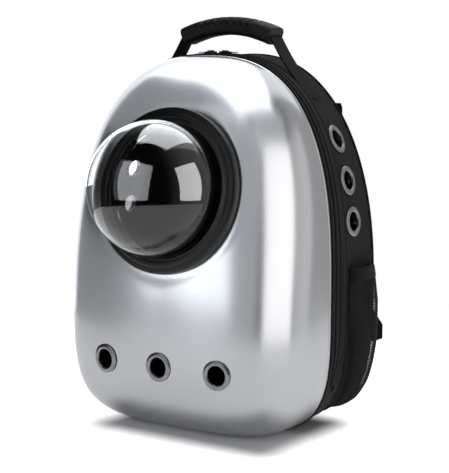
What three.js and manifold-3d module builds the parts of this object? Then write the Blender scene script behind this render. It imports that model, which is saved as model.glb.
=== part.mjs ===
// Bubble pet carrier backpack: a hard shell with a clear bubble window, zipped to a cloth body
// with vent eyelets, side pockets, a top handle and padded shoulder straps.
// Millimetres, +Z up, the bubble faces -Y, left is -X. The pack stands on its flat base.

import * as THREE from "three";
import { mergeVertices } from "three/addons/utils/BufferGeometryUtils.js";
import Module from "manifold-3d";

const wasm = await Module();
wasm.setup();

const { clamp, lerp, smoothstep, degToRad } = THREE.MathUtils;

// Outline of the pack, seen from the front
const packHeight = 420;
const packHalfWidth = 162.5;
const widestHeight = 163;
const baseTrim = 3; // the rounded outline is cut flat this far above its lowest point
const frontUpperPower = 2.66;
const backUpperPower = 2.24;
const frontLowerPower = 4.2;
const backLowerPower = 3.5;

// Fits between neighbours
const seamGap = 0.3;
const clothGap = 0.5; // between the curved body and what is sewn on it
const drillGap = 0.4;

// Hard front shell
const shellDepth = 98;
const shellWall = 2.5;
const crownHeight = 107.5;
const topSetback = 4;
const crownSidePower = 3.27;
const crownTopPower = 2.17;
const crownBottomPower = 3.62;

// Bubble window
const bubbleHeight = 274;
const bubbleTilt = degToRad(12);
const bubbleSink = 7;
const domeRadius = 75;
const domeWall = 2;
const domeCollar = 26;
const domeFlange = 4.4;
const domeFlangeWall = 2.2;
const bezelRadius = 92.3;
const bezelHeight = 13;
const bezelWall = 2.6;
const bezelBarrel = 6;
const seatMargin = 8;
const seatBlend = 26;

// Vent eyelets
const eyeletBore = 21;
const eyeletOuter = 33;
const eyeletRise = 2.3;
const eyeletWasherGap = 1.3;
const eyeletWasherWall = 1.1;
const eyeletTube = 1.5;
const eyeletSeat = 0.6; // the flange stands this far off, as the wall under it is curved
const frontEyeletHeight = 79;
const frontEyeletPitch = 76;
const sideEyeletTopDrop = 92;
const sideEyeletPitch = 45.5;
const sideEyeletDepth = 52;

// Cloth body between the shell and the back
const bodyDepth = 92;
const clothWall = 2.5;
const bindingWidth = 7.4;
const bindingProud = 1.4;

// Zip round the sides and the top
const zipWidth = 21;
const zipTape = 1.1;
const zipCoil = 1.2;
const zipCoilWidth = 5;
const zipEndHeight = 58;
const sliderLength = 13;
const sliderWidth = 9;
const sliderHeight = 3.2;
const pullLength = 24;
const pullWidth = 5;
const pullWall = 1.4;
const sliderSpacing = 30;

// Padded back
const backThickness = 14;
const backPipingWidth = 4.4;
const backPipingInset = 4;
const backPipingProud = 1.2;

// Side pockets
const pocketFront = 37;
const pocketBackMargin = 3;
const pocketFoot = 26;
const pocketEyeletClearance = 34;
const pocketWall = 1.4;
const pocketBulge = 12;
const hemHeight = 20;
const hemWall = 2.4;

// Top handle
const gripHalfLength = 66;
const gripRise = 21;
const gripArch = 12;
const gripDepth = 32;
const gripThickness = 21;
const ribPitch = 9;
const ribCount = 8;
const ribDepth = 2.2;
const handleWidth = 25;
const handleThickness = 2;
const handleFootWidth = 30;
const handleFootDrop = 48;
const handleLiftDrop = 34;
const handleDepth = 46;

// Back yoke and shoulder straps
const yokeHalfLength = 112;
const yokeTopDrop = 55;
const yokeHeight = 18;
const yokeWall = 3;
const strapWidth = 56;
const strapThickness = 11;
const strapOuter = 112;
const strapLength = 190;
const strapSlack = 22;
const strapSweep = 26;
const webbingWidth = 25;
const webbingThickness = 1.8;
const adjusterHeight = 26;
const adjusterWidth = 36;
const adjusterWall = 3.6;
const adjusterSlot = 5;
const adjusterBar = 4;
const tabHeight = 105;
const tabReach = 15;
const tabLength = 26;
const tabWall = 3;
const webbingHold = 0.3; // how far along the tab the webbing is sewn on

// Facets
const outlineSteps = 52;
const eyeletSides = 12;
const bubbleSides = 28;

const paint = {
  shell: { color: 0xb9bcc2, roughness: 0.28, metalness: 0.85 },
  clear: { color: 0xd9dde0, roughness: 0.05, metalness: 0.0 },
  black: { color: 0x18181a, roughness: 0.32, metalness: 0.0 },
  metal: { color: 0x5a5c60, roughness: 0.3, metalness: 1.0 },
  cloth: { color: 0x1b1c1e, roughness: 0.9, metalness: 0.0 },
  mesh: { color: 0x141516, roughness: 0.95, metalness: 0.0 },
  webbing: { color: 0x202123, roughness: 0.85, metalness: 0.0 },
  rubber: { color: 0x111112, roughness: 0.6, metalness: 0.0 },
};

const pack = new THREE.Group();

function addPiece(name, geometry, finish, parent = pack) {
  geometry.computeVertexNormals();
  const piece = new THREE.Mesh(geometry, new THREE.MeshStandardMaterial(paint[finish]));
  piece.name = name;
  parent.add(piece);
  return piece;
}

// Closed bodies from rings of points

function signedVolume(position, index) {
  const a = new THREE.Vector3();
  const b = new THREE.Vector3();
  const c = new THREE.Vector3();
  let total = 0;
  for (let i = 0; i < index.length; i += 3) {
    a.fromBufferAttribute(position, index[i]);
    b.fromBufferAttribute(position, index[i + 1]);
    c.fromBufferAttribute(position, index[i + 2]);
    total += a.dot(b.cross(c));
  }
  return total / 6;
}

/** Merges shared corners, drops flat triangles and turns the faces outwards. */
function closeBody(source) {
  const bare = source.clone();
  for (const name of Object.keys(bare.attributes)) {
    if (name !== "position") bare.deleteAttribute(name);
  }
  const merged = mergeVertices(bare, 1e-4);
  const kept = [];
  for (let i = 0; i < merged.index.count; i += 3) {
    const [a, b, c] = [0, 1, 2].map((k) => merged.index.getX(i + k));
    if (a !== b && b !== c && c !== a) kept.push(a, b, c);
  }
  if (signedVolume(merged.attributes.position, kept) < 0) kept.reverse();
  merged.setIndex(kept);
  return merged;
}

/** Skins a list of rings, each a closed loop of as many points. A tour joins last to first. */
function skin(rings, { tour = false } = {}) {
  const size = rings[0].length;
  const corner = (ring, point) => (ring % rings.length) * size + (point % size);
  const index = [];
  const spans = tour ? rings.length : rings.length - 1;
  for (let ring = 0; ring < spans; ring += 1) {
    for (let point = 0; point < size; point += 1) {
      const a = corner(ring, point);
      const b = corner(ring, point + 1);
      const c = corner(ring + 1, point + 1);
      const d = corner(ring + 1, point);
      index.push(a, b, c, a, c, d);
    }
  }
  if (!tour) {
    capWithRungs(index, size, (point) => corner(0, point), true);
    capWithRungs(index, size, (point) => corner(rings.length - 1, point), false);
  }
  const geometry = new THREE.BufferGeometry().setFromPoints(rings.flat());
  geometry.setIndex(index);
  return closeBody(geometry);
}

/** Closes a ring by rungs between its two halves, so that thin bent rings close too. */
function capWithRungs(index, size, corner, flipped) {
  const add = (a, b, c) => {
    if (flipped) index.push(corner(c), corner(b), corner(a));
    else index.push(corner(a), corner(b), corner(c));
  };
  for (let low = 0, high = size - 1; high - low >= 2; low += 1, high -= 1) {
    add(low, low + 1, high);
    if (high - low >= 3) add(low + 1, high - 1, high);
  }
}

function turned(profile, sides) {
  const points = profile.map(([radius, height]) => new THREE.Vector2(radius, height));
  return closeBody(new THREE.LatheGeometry(points, sides).rotateX(Math.PI / 2));
}

function toSolid(geometry) {
  const body = closeBody(geometry);
  return new wasm.Manifold(
    new wasm.Mesh({
      numProp: 3,
      vertProperties: new Float32Array(body.attributes.position.array),
      triVerts: new Uint32Array(body.index.array),
    }),
  );
}

function cutAway(geometry, tools) {
  let solid = toSolid(geometry);
  for (const tool of tools) solid = solid.subtract(toSolid(tool));
  const mesh = solid.getMesh();
  const result = new THREE.BufferGeometry();
  result.setAttribute("position", new THREE.BufferAttribute(mesh.vertProperties, 3));
  result.setIndex(new THREE.BufferAttribute(mesh.triVerts, 1));
  return result;
}

/** A round cutter along a direction, centred on a point. */
function cutter(centre, direction, radius, length, sides) {
  const turn = new THREE.Quaternion().setFromUnitVectors(new THREE.Vector3(0, 1, 0), direction);
  const tool = new THREE.CylinderGeometry(radius, radius, length, sides);
  return tool.applyQuaternion(turn).translate(centre.x, centre.y, centre.z);
}

// Outline of the pack

function outlineAt(depth) {
  const share = clamp(depth / bodyDepth, 0, 1);
  return {
    upperPower: lerp(frontUpperPower, backUpperPower, share),
    lowerPower: lerp(frontLowerPower, backLowerPower, share),
  };
}

function outlinePoint(outline, angle) {
  const across = Math.cos(angle);
  const up = Math.sin(angle);
  const power = up < 0 ? outline.lowerPower : outline.upperPower;
  const reach = up < 0 ? widestHeight + baseTrim : packHeight - widestHeight;
  const radius = (Math.abs(across) ** power + Math.abs(up) ** power) ** (-1 / power);
  return new THREE.Vector2(packHalfWidth * radius * across, widestHeight + reach * radius * up);
}

/** A point of the cloth body's surface, moved out by an offset and never below the base. */
function bodyPoint(depth, angle, offset = 0) {
  const outline = outlineAt(depth);
  const step = 1e-3;
  const along = outlinePoint(outline, angle + step).sub(outlinePoint(outline, angle - step));
  along.normalize();
  const here = outlinePoint(outline, angle);
  const floor = Math.max(0, -offset);
  const height = Math.max(here.y - along.x * offset, floor);
  return new THREE.Vector3(here.x + along.y * offset, depth, height);
}

/** The outline's angle where its right side passes a height. */
function angleAtHeight(depth, height) {
  const outline = outlineAt(depth);
  const above = height >= widestHeight;
  const power = above ? outline.upperPower : outline.lowerPower;
  const reach = above ? packHeight - widestHeight : widestHeight + baseTrim;
  const rise = Math.min(Math.abs(height - widestHeight) / reach, 1);
  const across = (1 - rise ** power) ** (1 / power);
  return Math.atan2(above ? rise : -rise, across);
}

function steps(count, from = 0, to = 1) {
  return Array.from({ length: count + 1 }, (_, i) => lerp(from, to, i / count));
}

const roundAngles = steps(outlineSteps, -Math.PI / 2, Math.PI * 1.5).slice(0, outlineSteps);

/** The body's own angles between two others, so that what lies on it has facets along its. */
function anglesBetween(low, high) {
  return [low, ...roundAngles.filter((angle) => angle > low && angle < high), high];
}

function hoop(depth, offset) {
  return roundAngles.map((angle) => bodyPoint(depth, angle, offset));
}

function mirrored(geometry) {
  return closeBody(geometry.clone().scale(-1, 1, 1));
}

// Hard front shell

function rimBearing(angle) {
  const rim = outlinePoint(outlineAt(0), angle);
  return Math.atan2(rim.y - crownHeight, rim.x);
}

function crowned(rim, share) {
  const rise = Math.sin(Math.atan2(rim.y - crownHeight, rim.x));
  const endPower = rise > 0 ? crownTopPower : crownBottomPower;
  const power = lerp(crownSidePower, endPower, rise * rise);
  const height = crownHeight + (rim.y - crownHeight) * share;
  const setback = (topSetback * (height - crownHeight)) / (packHeight - crownHeight);
  const bulge = Math.max(0, 1 - share ** power) ** (1 / power);
  return new THREE.Vector3(rim.x * share, -(shellDepth - setback) * bulge, Math.max(height, 0));
}

/** The shell's outer surface in front of a point of the rim plane. */
function shellPoint(x, height) {
  const bearing = Math.atan2(height - crownHeight, x);
  let low = bearing - 1;
  let high = bearing + 1;
  for (let i = 0; i < 40; i += 1) {
    const middle = (low + high) / 2;
    const ahead = Math.sin(rimBearing(middle) - bearing) > 0;
    if (ahead) high = middle;
    else low = middle;
  }
  const rim = outlinePoint(outlineAt(0), (low + high) / 2);
  const share = Math.hypot(x, height - crownHeight) / Math.hypot(rim.x, rim.y - crownHeight);
  return crowned(rim, share);
}

function shellNormal(x, height) {
  const reach = 4;
  const across = shellPoint(x + reach, height).sub(shellPoint(x - reach, height));
  const upward = shellPoint(x, height + reach).sub(shellPoint(x, height - reach));
  return across.cross(upward).normalize();
}

const bubbleAxis = new THREE.Vector3(0, -Math.cos(bubbleTilt), Math.sin(bubbleTilt));
const seatCentre = shellPoint(0, bubbleHeight).addScaledVector(bubbleAxis, -bubbleSink);
const bezelBarrelRadius = domeRadius + domeFlange + seamGap + bezelWall;
const windowRadius = bezelBarrelRadius + drillGap;

/** Presses the shell flat under the bezel and blends back to its crown. */
function pressSeat(point) {
  const local = point.clone().sub(seatCentre);
  const out = local.dot(bubbleAxis);
  const radius = Math.sqrt(Math.max(0, local.lengthSq() - out * out));
  const inner = bezelRadius + seatMargin;
  const hold = 1 - smoothstep(radius, inner, inner + seatBlend);
  return point.addScaledVector(bubbleAxis, -out * hold);
}

// Rings of the shell from the middle of the front to the rim, as shares of the rim's size
const shellRings = [0.18, 0.36, 0.52, 0.65, 0.76, 0.845, 0.905, 0.945, 0.972, 0.989, 0.997, 1];

function shellWallInwards(rings) {
  const centre = new THREE.Vector3();
  const middle = rings[0].reduce((sum, point) => sum.add(point), centre).divideScalar(outlineSteps);
  return rings.map((ring, level) =>
    ring.map((point, i) => {
      const before = ring[(i + outlineSteps - 1) % outlineSteps];
      const after = ring[(i + 1) % outlineSteps];
      const inward = level > 0 ? rings[level - 1][i] : middle;
      const outward = level < rings.length - 1 ? rings[level + 1][i] : point;
      const round = after.clone().sub(before);
      const normal = round.cross(outward.clone().sub(inward)).normalize();
      if (level === rings.length - 1) normal.setY(0).normalize();
      const moved = point.clone().addScaledVector(normal, shellWall);
      moved.z = Math.max(moved.z, shellWall);
      return moved;
    }),
  );
}

function makeShell(holes) {
  const outer = shellRings.map((share) =>
    roundAngles.map((angle) => pressSeat(crowned(outlinePoint(outlineAt(0), angle), share))),
  );
  const inner = shellWallInwards(outer).reverse();
  const window = cutter(seatCentre, bubbleAxis, windowRadius, 12 * shellWall, 2 * bubbleSides);
  return cutAway(skin([...outer, ...inner]), [window, ...holes]);
}

// Bubble window

function domeProfile() {
  const inside = domeRadius - domeWall;
  const arc = (radius, turns) =>
    turns.map((turn) => [radius * Math.sin(turn), domeCollar + radius * Math.cos(turn)]);
  const turns = steps(6, 0, Math.PI / 2);
  return [
    ...arc(inside, turns),
    [inside, -domeFlangeWall],
    [domeRadius + domeFlange, -domeFlangeWall],
    [domeRadius + domeFlange, 0],
    [domeRadius, 0],
    ...arc(domeRadius, turns.reverse()),
  ];
}

// Stepped bezel: radius as a share from the dome to the rim, height as a share of the whole
const bezelSteps = [
  { out: 0.02, up: 1 },
  { out: 0.14, up: 1 },
  { out: 0.24, up: 0.84 },
  { out: 0.46, up: 0.7 },
  { out: 0.62, up: 0.55 },
  { out: 0.84, up: 0.42 },
  { out: 1, up: 0.18 },
  { out: 1, up: 0 },
];

function bezelProfile() {
  const inside = domeRadius + seamGap;
  const face = bezelSteps.map(({ out, up }) => [
    lerp(inside, bezelRadius, out),
    seamGap + (bezelHeight - seamGap) * up,
  ]);
  return [
    [inside, seamGap],
    ...face,
    [bezelBarrelRadius, seamGap],
    [bezelBarrelRadius, -bezelBarrel],
    [bezelBarrelRadius - bezelWall, -bezelBarrel],
    [bezelBarrelRadius - bezelWall, seamGap],
    [inside, seamGap],
  ];
}

function addBubble() {
  const bubble = new THREE.Group();
  bubble.position.copy(seatCentre);
  bubble.rotation.x = Math.PI / 2 - bubbleTilt;
  pack.add(bubble);
  addPiece("bubble_dome", turned(domeProfile(), bubbleSides), "clear", bubble);
  addPiece("bubble_bezel", turned(bezelProfile(), bubbleSides), "black", bubble);
}

// Vent eyelets

function eyeletProfile(wall) {
  const bore = eyeletBore / 2;
  const outer = eyeletOuter / 2;
  const tube = bore + eyeletTube;
  const back = -(wall + eyeletWasherGap);
  return [
    [bore, eyeletRise * 0.6],
    [lerp(bore, outer, 0.3), eyeletRise],
    [lerp(bore, outer, 0.7), eyeletRise * 0.8],
    [outer, eyeletSeat],
    [tube, eyeletSeat],
    [tube, back],
    [outer - eyeletTube, back],
    [outer - eyeletTube, back - eyeletWasherWall],
    [bore, back - eyeletWasherWall],
    [bore, eyeletRise * 0.6],
  ];
}

function eyeletHole(seat, wall) {
  const radius = eyeletBore / 2 + eyeletTube + drillGap;
  return cutter(seat.centre, seat.normal, radius, 6 * wall, 2 * eyeletSides);
}

function addEyelet(name, seat, wall) {
  const eyelet = addPiece(name, turned(eyeletProfile(wall), eyeletSides), "metal");
  eyelet.position.copy(seat.centre);
  eyelet.quaternion.setFromUnitVectors(new THREE.Vector3(0, 0, 1), seat.normal);
}

function frontEyeletSeats() {
  const columns = { left: -1, middle: 0, right: 1 };
  return Object.entries(columns).map(([side, column]) => {
    const x = column * frontEyeletPitch;
    return {
      name: `front_eyelet_${side}`,
      centre: shellPoint(x, frontEyeletHeight),
      normal: shellNormal(x, frontEyeletHeight),
    };
  });
}

function sideEyeletSeats() {
  const seats = [];
  for (const [side, sign] of Object.entries({ left: -1, right: 1 })) {
    for (const row of [0, 1, 2]) {
      const height = packHeight - sideEyeletTopDrop - row * sideEyeletPitch;
      const angle = angleAtHeight(sideEyeletDepth, height);
      const centre = bodyPoint(sideEyeletDepth, angle);
      const inDepth = bodyPoint(sideEyeletDepth + 1, angle).sub(centre);
      const round = bodyPoint(sideEyeletDepth, angle + 0.01).sub(centre);
      const normal = inDepth.cross(round).normalize();
      if (normal.x < 0) normal.negate();
      centre.x *= sign;
      normal.x *= sign;
      seats.push({ name: `side_eyelet_${side}_${row + 1}`, centre, normal });
    }
  }
  return seats;
}

// Cloth body, bindings and back

const bodyFront = bindingWidth + 2 * seamGap;

function makeBody(holes) {
  const depths = steps(2, bodyFront, bodyDepth);
  const outer = depths.map((depth) => hoop(depth, 0));
  const inner = depths.map((depth) => hoop(depth, -clothWall)).reverse();
  return cutAway(skin([...outer, ...inner], { tour: true }), holes);
}

function makeBinding() {
  const front = seamGap;
  const back = seamGap + bindingWidth;
  const middle = (front + back) / 2;
  return skin(
    [
      hoop(front, 0),
      hoop(middle, bindingProud),
      hoop(back, 0),
      hoop(back, -clothWall),
      hoop(front, -clothWall),
    ],
    { tour: true },
  );
}

function makeBackPiping() {
  const front = bodyDepth + seamGap;
  const back = front + backPipingWidth;
  return skin(
    [
      hoop(front, 0),
      hoop(lerp(front, back, 0.5), backPipingProud),
      hoop(back, 0),
      hoop(back, -backPipingInset),
      hoop(front, -backPipingInset),
    ],
    { tour: true },
  );
}

// Swell of the padded back: size as a share of the outline, rise as a share of its thickness
const backSwell = [
  { size: 1, rise: 0 },
  { size: 1, rise: 0.35 },
  { size: 0.97, rise: 0.78 },
  { size: 0.92, rise: 0.95 },
  { size: 0.84, rise: 1 },
];

const backFace = bodyDepth + seamGap + backThickness;

function makeBackPanel() {
  const rim = hoop(bodyDepth, -(backPipingInset + seamGap));
  const rings = backSwell.map(({ size, rise }) =>
    rim.map((point) => {
      const height = crownHeight + (point.z - crownHeight) * size;
      const depth = bodyDepth + seamGap + backThickness * rise;
      return new THREE.Vector3(point.x * size, depth, height);
    }),
  );
  return skin(rings);
}

// Zip

const zipFront = bodyFront + seamGap;
const zipBack = zipFront + zipWidth;
const zipMiddle = (zipFront + zipBack) / 2;
const tapeTop = clothGap + zipTape;

function makeZip() {
  const low = angleAtHeight(0, zipEndHeight);
  const tape = tapeTop;
  const ridge = tape + zipCoil;
  const half = zipCoilWidth / 2;
  const profile = [
    { depth: zipFront, offset: clothGap },
    { depth: zipBack, offset: clothGap },
    { depth: zipBack, offset: tape },
    { depth: zipMiddle + half, offset: tape },
    { depth: zipMiddle, offset: ridge },
    { depth: zipMiddle - half, offset: tape },
    { depth: zipFront, offset: tape },
    { depth: zipFront, offset: (clothGap + tape) / 2 },
  ];
  const rings = anglesBetween(low, Math.PI - low).map((angle) =>
    profile.map(({ depth, offset }) => bodyPoint(depth, angle, offset)),
  );
  return skin(rings);
}

/** A slider over the coil with its pull tab lying behind it. */
function makeSlider() {
  const foot = tapeTop + zipCoil + seamGap;
  const rail = (x, half, low, high) => [
    new THREE.Vector3(x, -half, low),
    new THREE.Vector3(x, half, low),
    new THREE.Vector3(x, half, high),
    new THREE.Vector3(x, -half, high),
  ];
  const top = foot + sliderHeight;
  const end = sliderLength / 2;
  const tip = end + pullLength;
  return skin([
    rail(-end, sliderWidth * 0.35, foot, top - 1),
    rail(-end * 0.6, sliderWidth / 2, foot, top),
    rail(end, sliderWidth * 0.4, foot, top),
    rail(end, pullWidth / 2, top - pullWall, top),
    rail(tip, pullWidth / 2, foot, foot + pullWall),
  ]);
}

function addSliders() {
  const body = closeBody(makeSlider());
  for (const [side, sign] of Object.entries({ left: -1, right: 1 })) {
    const slider = addPiece(`zip_slider_${side}`, sign > 0 ? body : mirrored(body), "metal");
    const lean = (sign * sliderSpacing) / 2 / (packHeight - widestHeight);
    const seat = bodyPoint(zipMiddle, Math.PI / 2 - lean);
    const ahead = bodyPoint(zipMiddle, Math.PI / 2 - lean - 0.05).sub(seat);
    slider.position.set(seat.x, seat.y, seat.z);
    slider.rotation.y = -Math.atan2(ahead.z, ahead.x);
  }
}

// Side pockets

const lowestEyelet = packHeight - sideEyeletTopDrop - 2 * sideEyeletPitch;
const pocketTop = lowestEyelet - eyeletOuter / 2 - pocketEyeletClearance;
const pocketBack = bodyDepth - pocketBackMargin;

// How far the pocket stands off at each level, as shares of its height and of its bulge
const pocketLevels = [
  { up: 0, off: 0 },
  { up: 0.08, off: 0.28 },
  { up: 0.2, off: 0.6 },
  { up: 0.4, off: 0.88 },
  { up: 0.62, off: 1 },
  { up: 0.82, off: 0.94 },
  { up: 1, off: 0.78 },
];

const pocketMiddle = (pocketFront + pocketBack) / 2;

function pocketStandOff(angle) {
  const height = bodyPoint(pocketMiddle, angle).z;
  const share = clamp((height - pocketFoot) / (pocketTop - pocketFoot), 0, 1);
  const next = Math.max(1, pocketLevels.findIndex(({ up }) => up >= share));
  const low = pocketLevels[next - 1];
  const high = pocketLevels[next];
  return pocketBulge * lerp(low.off, high.off, (share - low.up) / (high.up - low.up));
}

function pocketBand(foot, top, wall) {
  const across = steps(5);
  const low = angleAtHeight(pocketMiddle, foot);
  const high = angleAtHeight(pocketMiddle, top);
  const rings = anglesBetween(low, high).map((angle) => {
    const line = (thickness) =>
      across.map((share) => {
        const depth = lerp(pocketFront, pocketBack, share);
        const off = pocketStandOff(angle) * Math.sin(Math.PI * share) ** 0.7;
        return bodyPoint(depth, angle, clothGap + off + thickness);
      });
    return [...line(wall), ...line(0).reverse()];
  });
  return skin(rings);
}

function makePocketNet() {
  return pocketBand(pocketFoot, pocketTop - hemHeight - seamGap, pocketWall);
}

function makePocketHem() {
  return pocketBand(pocketTop - hemHeight, pocketTop, hemWall);
}

// Top handle

const gripHeight = packHeight + gripRise;

function archPoint(share) {
  const x = gripHalfLength * share;
  return new THREE.Vector3(x, handleDepth, gripHeight + gripArch * (1 - share * share));
}

function archNormal(share) {
  const slope = (-2 * gripArch * share) / gripHalfLength;
  return new THREE.Vector3(-slope, 0, 1).normalize();
}

function gripRing(share, halfDepth, halfThickness, power, topCut) {
  const centre = archPoint(share);
  const normal = archNormal(share);
  const sides = 10;
  return steps(sides, 0, 2 * Math.PI).slice(0, sides).map((turn) => {
    const round = (value) => Math.sign(value) * Math.abs(value) ** (2 / power);
    const high = round(Math.sin(turn)) * (halfThickness - (Math.sin(turn) > 0.3 ? topCut : 0));
    const point = centre.clone().addScaledVector(normal, high);
    point.y += round(Math.cos(turn)) * halfDepth;
    return point;
  });
}

function gripStations() {
  const span = (ribCount * ribPitch) / gripHalfLength;
  const stations = [
    { at: -1, cut: 0 },
    { at: -span / 2 - 0.04, cut: 0 },
  ];
  for (let rib = 0; rib < ribCount; rib += 1) {
    const start = -span / 2 + (rib * span) / ribCount;
    const pitch = span / ribCount;
    stations.push({ at: start, cut: ribDepth });
    stations.push({ at: start + pitch / 2, cut: 0 });
  }
  stations.push({ at: span / 2, cut: ribDepth });
  stations.push({ at: span / 2 + 0.04, cut: 0 });
  stations.push({ at: 1, cut: 0 });
  return stations;
}

function makeGrip() {
  const stations = gripStations();
  const outer = stations.map(({ at, cut }) =>
    gripRing(at, gripDepth / 2, gripThickness / 2, 3, cut),
  );
  const slotDepth = handleWidth / 2 + 3 * seamGap;
  const slotHeight = handleThickness / 2 + 2 * seamGap;
  const inner = [1, 0.6, 0.2, -0.2, -0.6, -1].map((at) => gripRing(at, slotDepth, slotHeight, 8, 0));
  return skin([...outer, ...inner], { tour: true });
}

/** Corners of a strap's section from its middle, the way across and the way out. */
function strapRing(centre, across, out, width, thickness) {
  const corner = (side, face) =>
    centre
      .clone()
      .addScaledVector(across, (side * width) / 2)
      .addScaledVector(out, (face * thickness) / 2);
  return [corner(-1, -1), corner(1, -1), corner(1, 1), corner(-1, 1)];
}

function footRing(height, width) {
  const angle = angleAtHeight(handleDepth, height);
  const near = 1.5 * seamGap;
  const edge = (side, offset) => bodyPoint(handleDepth + (side * width) / 2, angle, offset);
  const far = near + handleThickness;
  return [edge(-1, near), edge(1, near), edge(1, far), edge(-1, far)];
}

function makeHandleStrap() {
  const foot = packHeight - handleFootDrop;
  const lift = packHeight - handleLiftDrop;
  const side = [
    footRing(foot, handleFootWidth),
    footRing(lerp(foot, lift, 0.5), handleFootWidth),
    footRing(lift, handleWidth),
  ];
  const across = new THREE.Vector3(0, 1, 0);
  const end = archPoint(1);
  const start = side[2].reduce((sum, point) => sum.add(point), new THREE.Vector3()).divideScalar(4);
  const run = end.clone().sub(start).normalize();
  const out = run.clone().cross(across).normalize();
  if (out.z < 0) out.negate();
  const middle = start.clone().lerp(end, 0.5);
  const free = [strapRing(middle, across, out, handleWidth, handleThickness)];
  const arch = [1, 0.6, 0.2, -0.2, -0.6, -1].map((share) =>
    strapRing(archPoint(share), across, archNormal(share), handleWidth, handleThickness),
  );
  const rightSide = [...side, ...free];
  const leftSide = rightSide.map((ring) =>
    ring.map((point) => new THREE.Vector3(-point.x, point.y, point.z)),
  );
  return skin([...rightSide, ...arch, ...leftSide.reverse()]);
}

// Back yoke, shoulder straps, adjusters and tabs

const yokeTop = packHeight - yokeTopDrop;
const yokeFoot = yokeTop - yokeHeight;
const strapBack = backFace + seamGap;

function makeYoke() {
  const slab = new THREE.BoxGeometry(2 * yokeHalfLength, yokeWall, yokeHeight);
  return closeBody(slab.translate(0, strapBack + yokeWall / 2, yokeFoot + yokeHeight / 2));
}

// The padded strap from its sewn top to its end, as shares of its length, slack, sweep,
// width and thickness
const strapRun = [
  { down: 0, off: 0, aside: 0, width: 1, thick: 0.5 },
  { down: 0.08, off: 0.06, aside: 0, width: 1, thick: 0.9 },
  { down: 0.3, off: 0.55, aside: 0, width: 1, thick: 1 },
  { down: 0.55, off: 1, aside: 0.04, width: 1, thick: 1 },
  { down: 0.78, off: 0.95, aside: 0.26, width: 0.96, thick: 1 },
  { down: 0.93, off: 0.8, aside: 0.68, width: 0.84, thick: 0.9 },
  { down: 1, off: 0.72, aside: 1, width: 0.66, thick: 0.45 },
];

const strapMiddle = strapOuter - strapWidth / 2;
const strapTop = yokeFoot - seamGap;

function strapCentre({ down, off, aside }) {
  return new THREE.Vector3(
    strapMiddle + strapSweep * aside,
    strapBack + strapThickness / 2 + strapSlack * off,
    strapTop - strapLength * down,
  );
}

const tabLift = tabWall / 2 + seamGap + backPipingProud / 2;

/** Where the cloth tab leaves the side seam, and its tip. */
function tabLine() {
  const angle = angleAtHeight(bodyDepth, tabHeight);
  const seam = bodyPoint(bodyDepth + backPipingWidth, angle);
  const tip = seam.clone().add(new THREE.Vector3(tabReach, 2 * backPipingWidth, 0));
  const up = new THREE.Vector3(0, 0, 1);
  const out = up.clone().cross(tip.clone().sub(seam)).normalize();
  return { seam, tip, up, out };
}

/** The line of the lower webbing, from the padded strap's end to the back of the tab. */
function webbingLine(tab) {
  const start = strapCentre(strapRun.at(-1));
  const hold = tab.seam.clone().lerp(tab.tip, webbingHold);
  let end = hold;
  for (let pass = 0; pass < 3; pass += 1) {
    const run = end.clone().sub(start).normalize();
    const across = run.clone().cross(new THREE.Vector3(0, 1, 0)).normalize();
    const out = across.clone().cross(run).normalize();
    const spread = (webbingWidth * Math.abs(across.dot(tab.out)) + webbingThickness) / 2;
    const clear = tabWall / 2 + seamGap + spread;
    if (pass === 2) return { start, end, run, across, out };
    end = hold.clone().addScaledVector(tab.out, clear + tabLift * (1 - webbingHold));
  }
}

function makeShoulderStrap(line) {
  const centres = strapRun.map(strapCentre);
  const rings = strapRun.map(({ width, thick }, i) => {
    const before = centres[Math.max(0, i - 1)];
    const after = centres[Math.min(centres.length - 1, i + 1)];
    const run = i === centres.length - 1 ? line.run : after.clone().sub(before).normalize();
    const across = run.clone().cross(new THREE.Vector3(0, 1, 0)).normalize();
    const out = across.clone().cross(run);
    const sides = 8;
    return steps(sides, 0, 2 * Math.PI).slice(0, sides).map((turn) => {
      const flat = Math.sign(Math.cos(turn)) * Math.abs(Math.cos(turn)) ** 0.4;
      return centres[i]
        .clone()
        .addScaledVector(across, (flat * strapWidth * width) / 2)
        .addScaledVector(out, (Math.sin(turn) * strapThickness * thick) / 2);
    });
  });
  return skin(rings);
}

function placeAlong({ run, across, out }, centre) {
  return new THREE.Matrix4().makeBasis(across, out, run).setPosition(centre);
}

/** A ladder frame with two slots, its own length along Z. */
function makeAdjuster(line) {
  const half = adjusterWidth / 2;
  const tall = adjusterHeight / 2;
  const frame = new THREE.Shape();
  frame.moveTo(-half, -tall).lineTo(half, -tall).lineTo(half, tall).lineTo(-half, tall);
  frame.closePath();
  const slotHalf = webbingWidth / 2 + 2 * seamGap;
  for (const side of [-1, 1]) {
    const near = side * (adjusterBar / 2);
    const far = side * (adjusterBar / 2 + adjusterSlot);
    const slot = new THREE.Path();
    slot.moveTo(-slotHalf, near).lineTo(slotHalf, near).lineTo(slotHalf, far);
    slot.lineTo(-slotHalf, far).closePath();
    frame.holes.push(slot);
  }
  const plate = new THREE.ExtrudeGeometry(frame, { depth: adjusterWall, bevelEnabled: false });
  plate.translate(0, 0, -adjusterWall / 2).rotateX(Math.PI / 2);
  const centre = line.start.clone().addScaledVector(line.run, seamGap + tall);
  return closeBody(plate.applyMatrix4(placeAlong(line, centre)));
}

function makeStrapWebbing(line) {
  const start = line.start.clone().addScaledVector(line.run, 2 * seamGap + adjusterHeight);
  const ring = (centre) => strapRing(centre, line.across, line.out, webbingWidth, webbingThickness);
  return skin([ring(start), ring(line.end)]);
}

/** A folded cloth tab from the side seam out to the webbing's lower end. */
function makeTab(tab) {
  const inner = tab.seam.clone().addScaledVector(tab.out, tabLift);
  return skin([
    strapRing(inner, tab.up, tab.out, tabLength, tabWall),
    strapRing(tab.tip, tab.up, tab.out, tabLength * 0.55, tabWall),
  ]);
}

// Assembly

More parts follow.
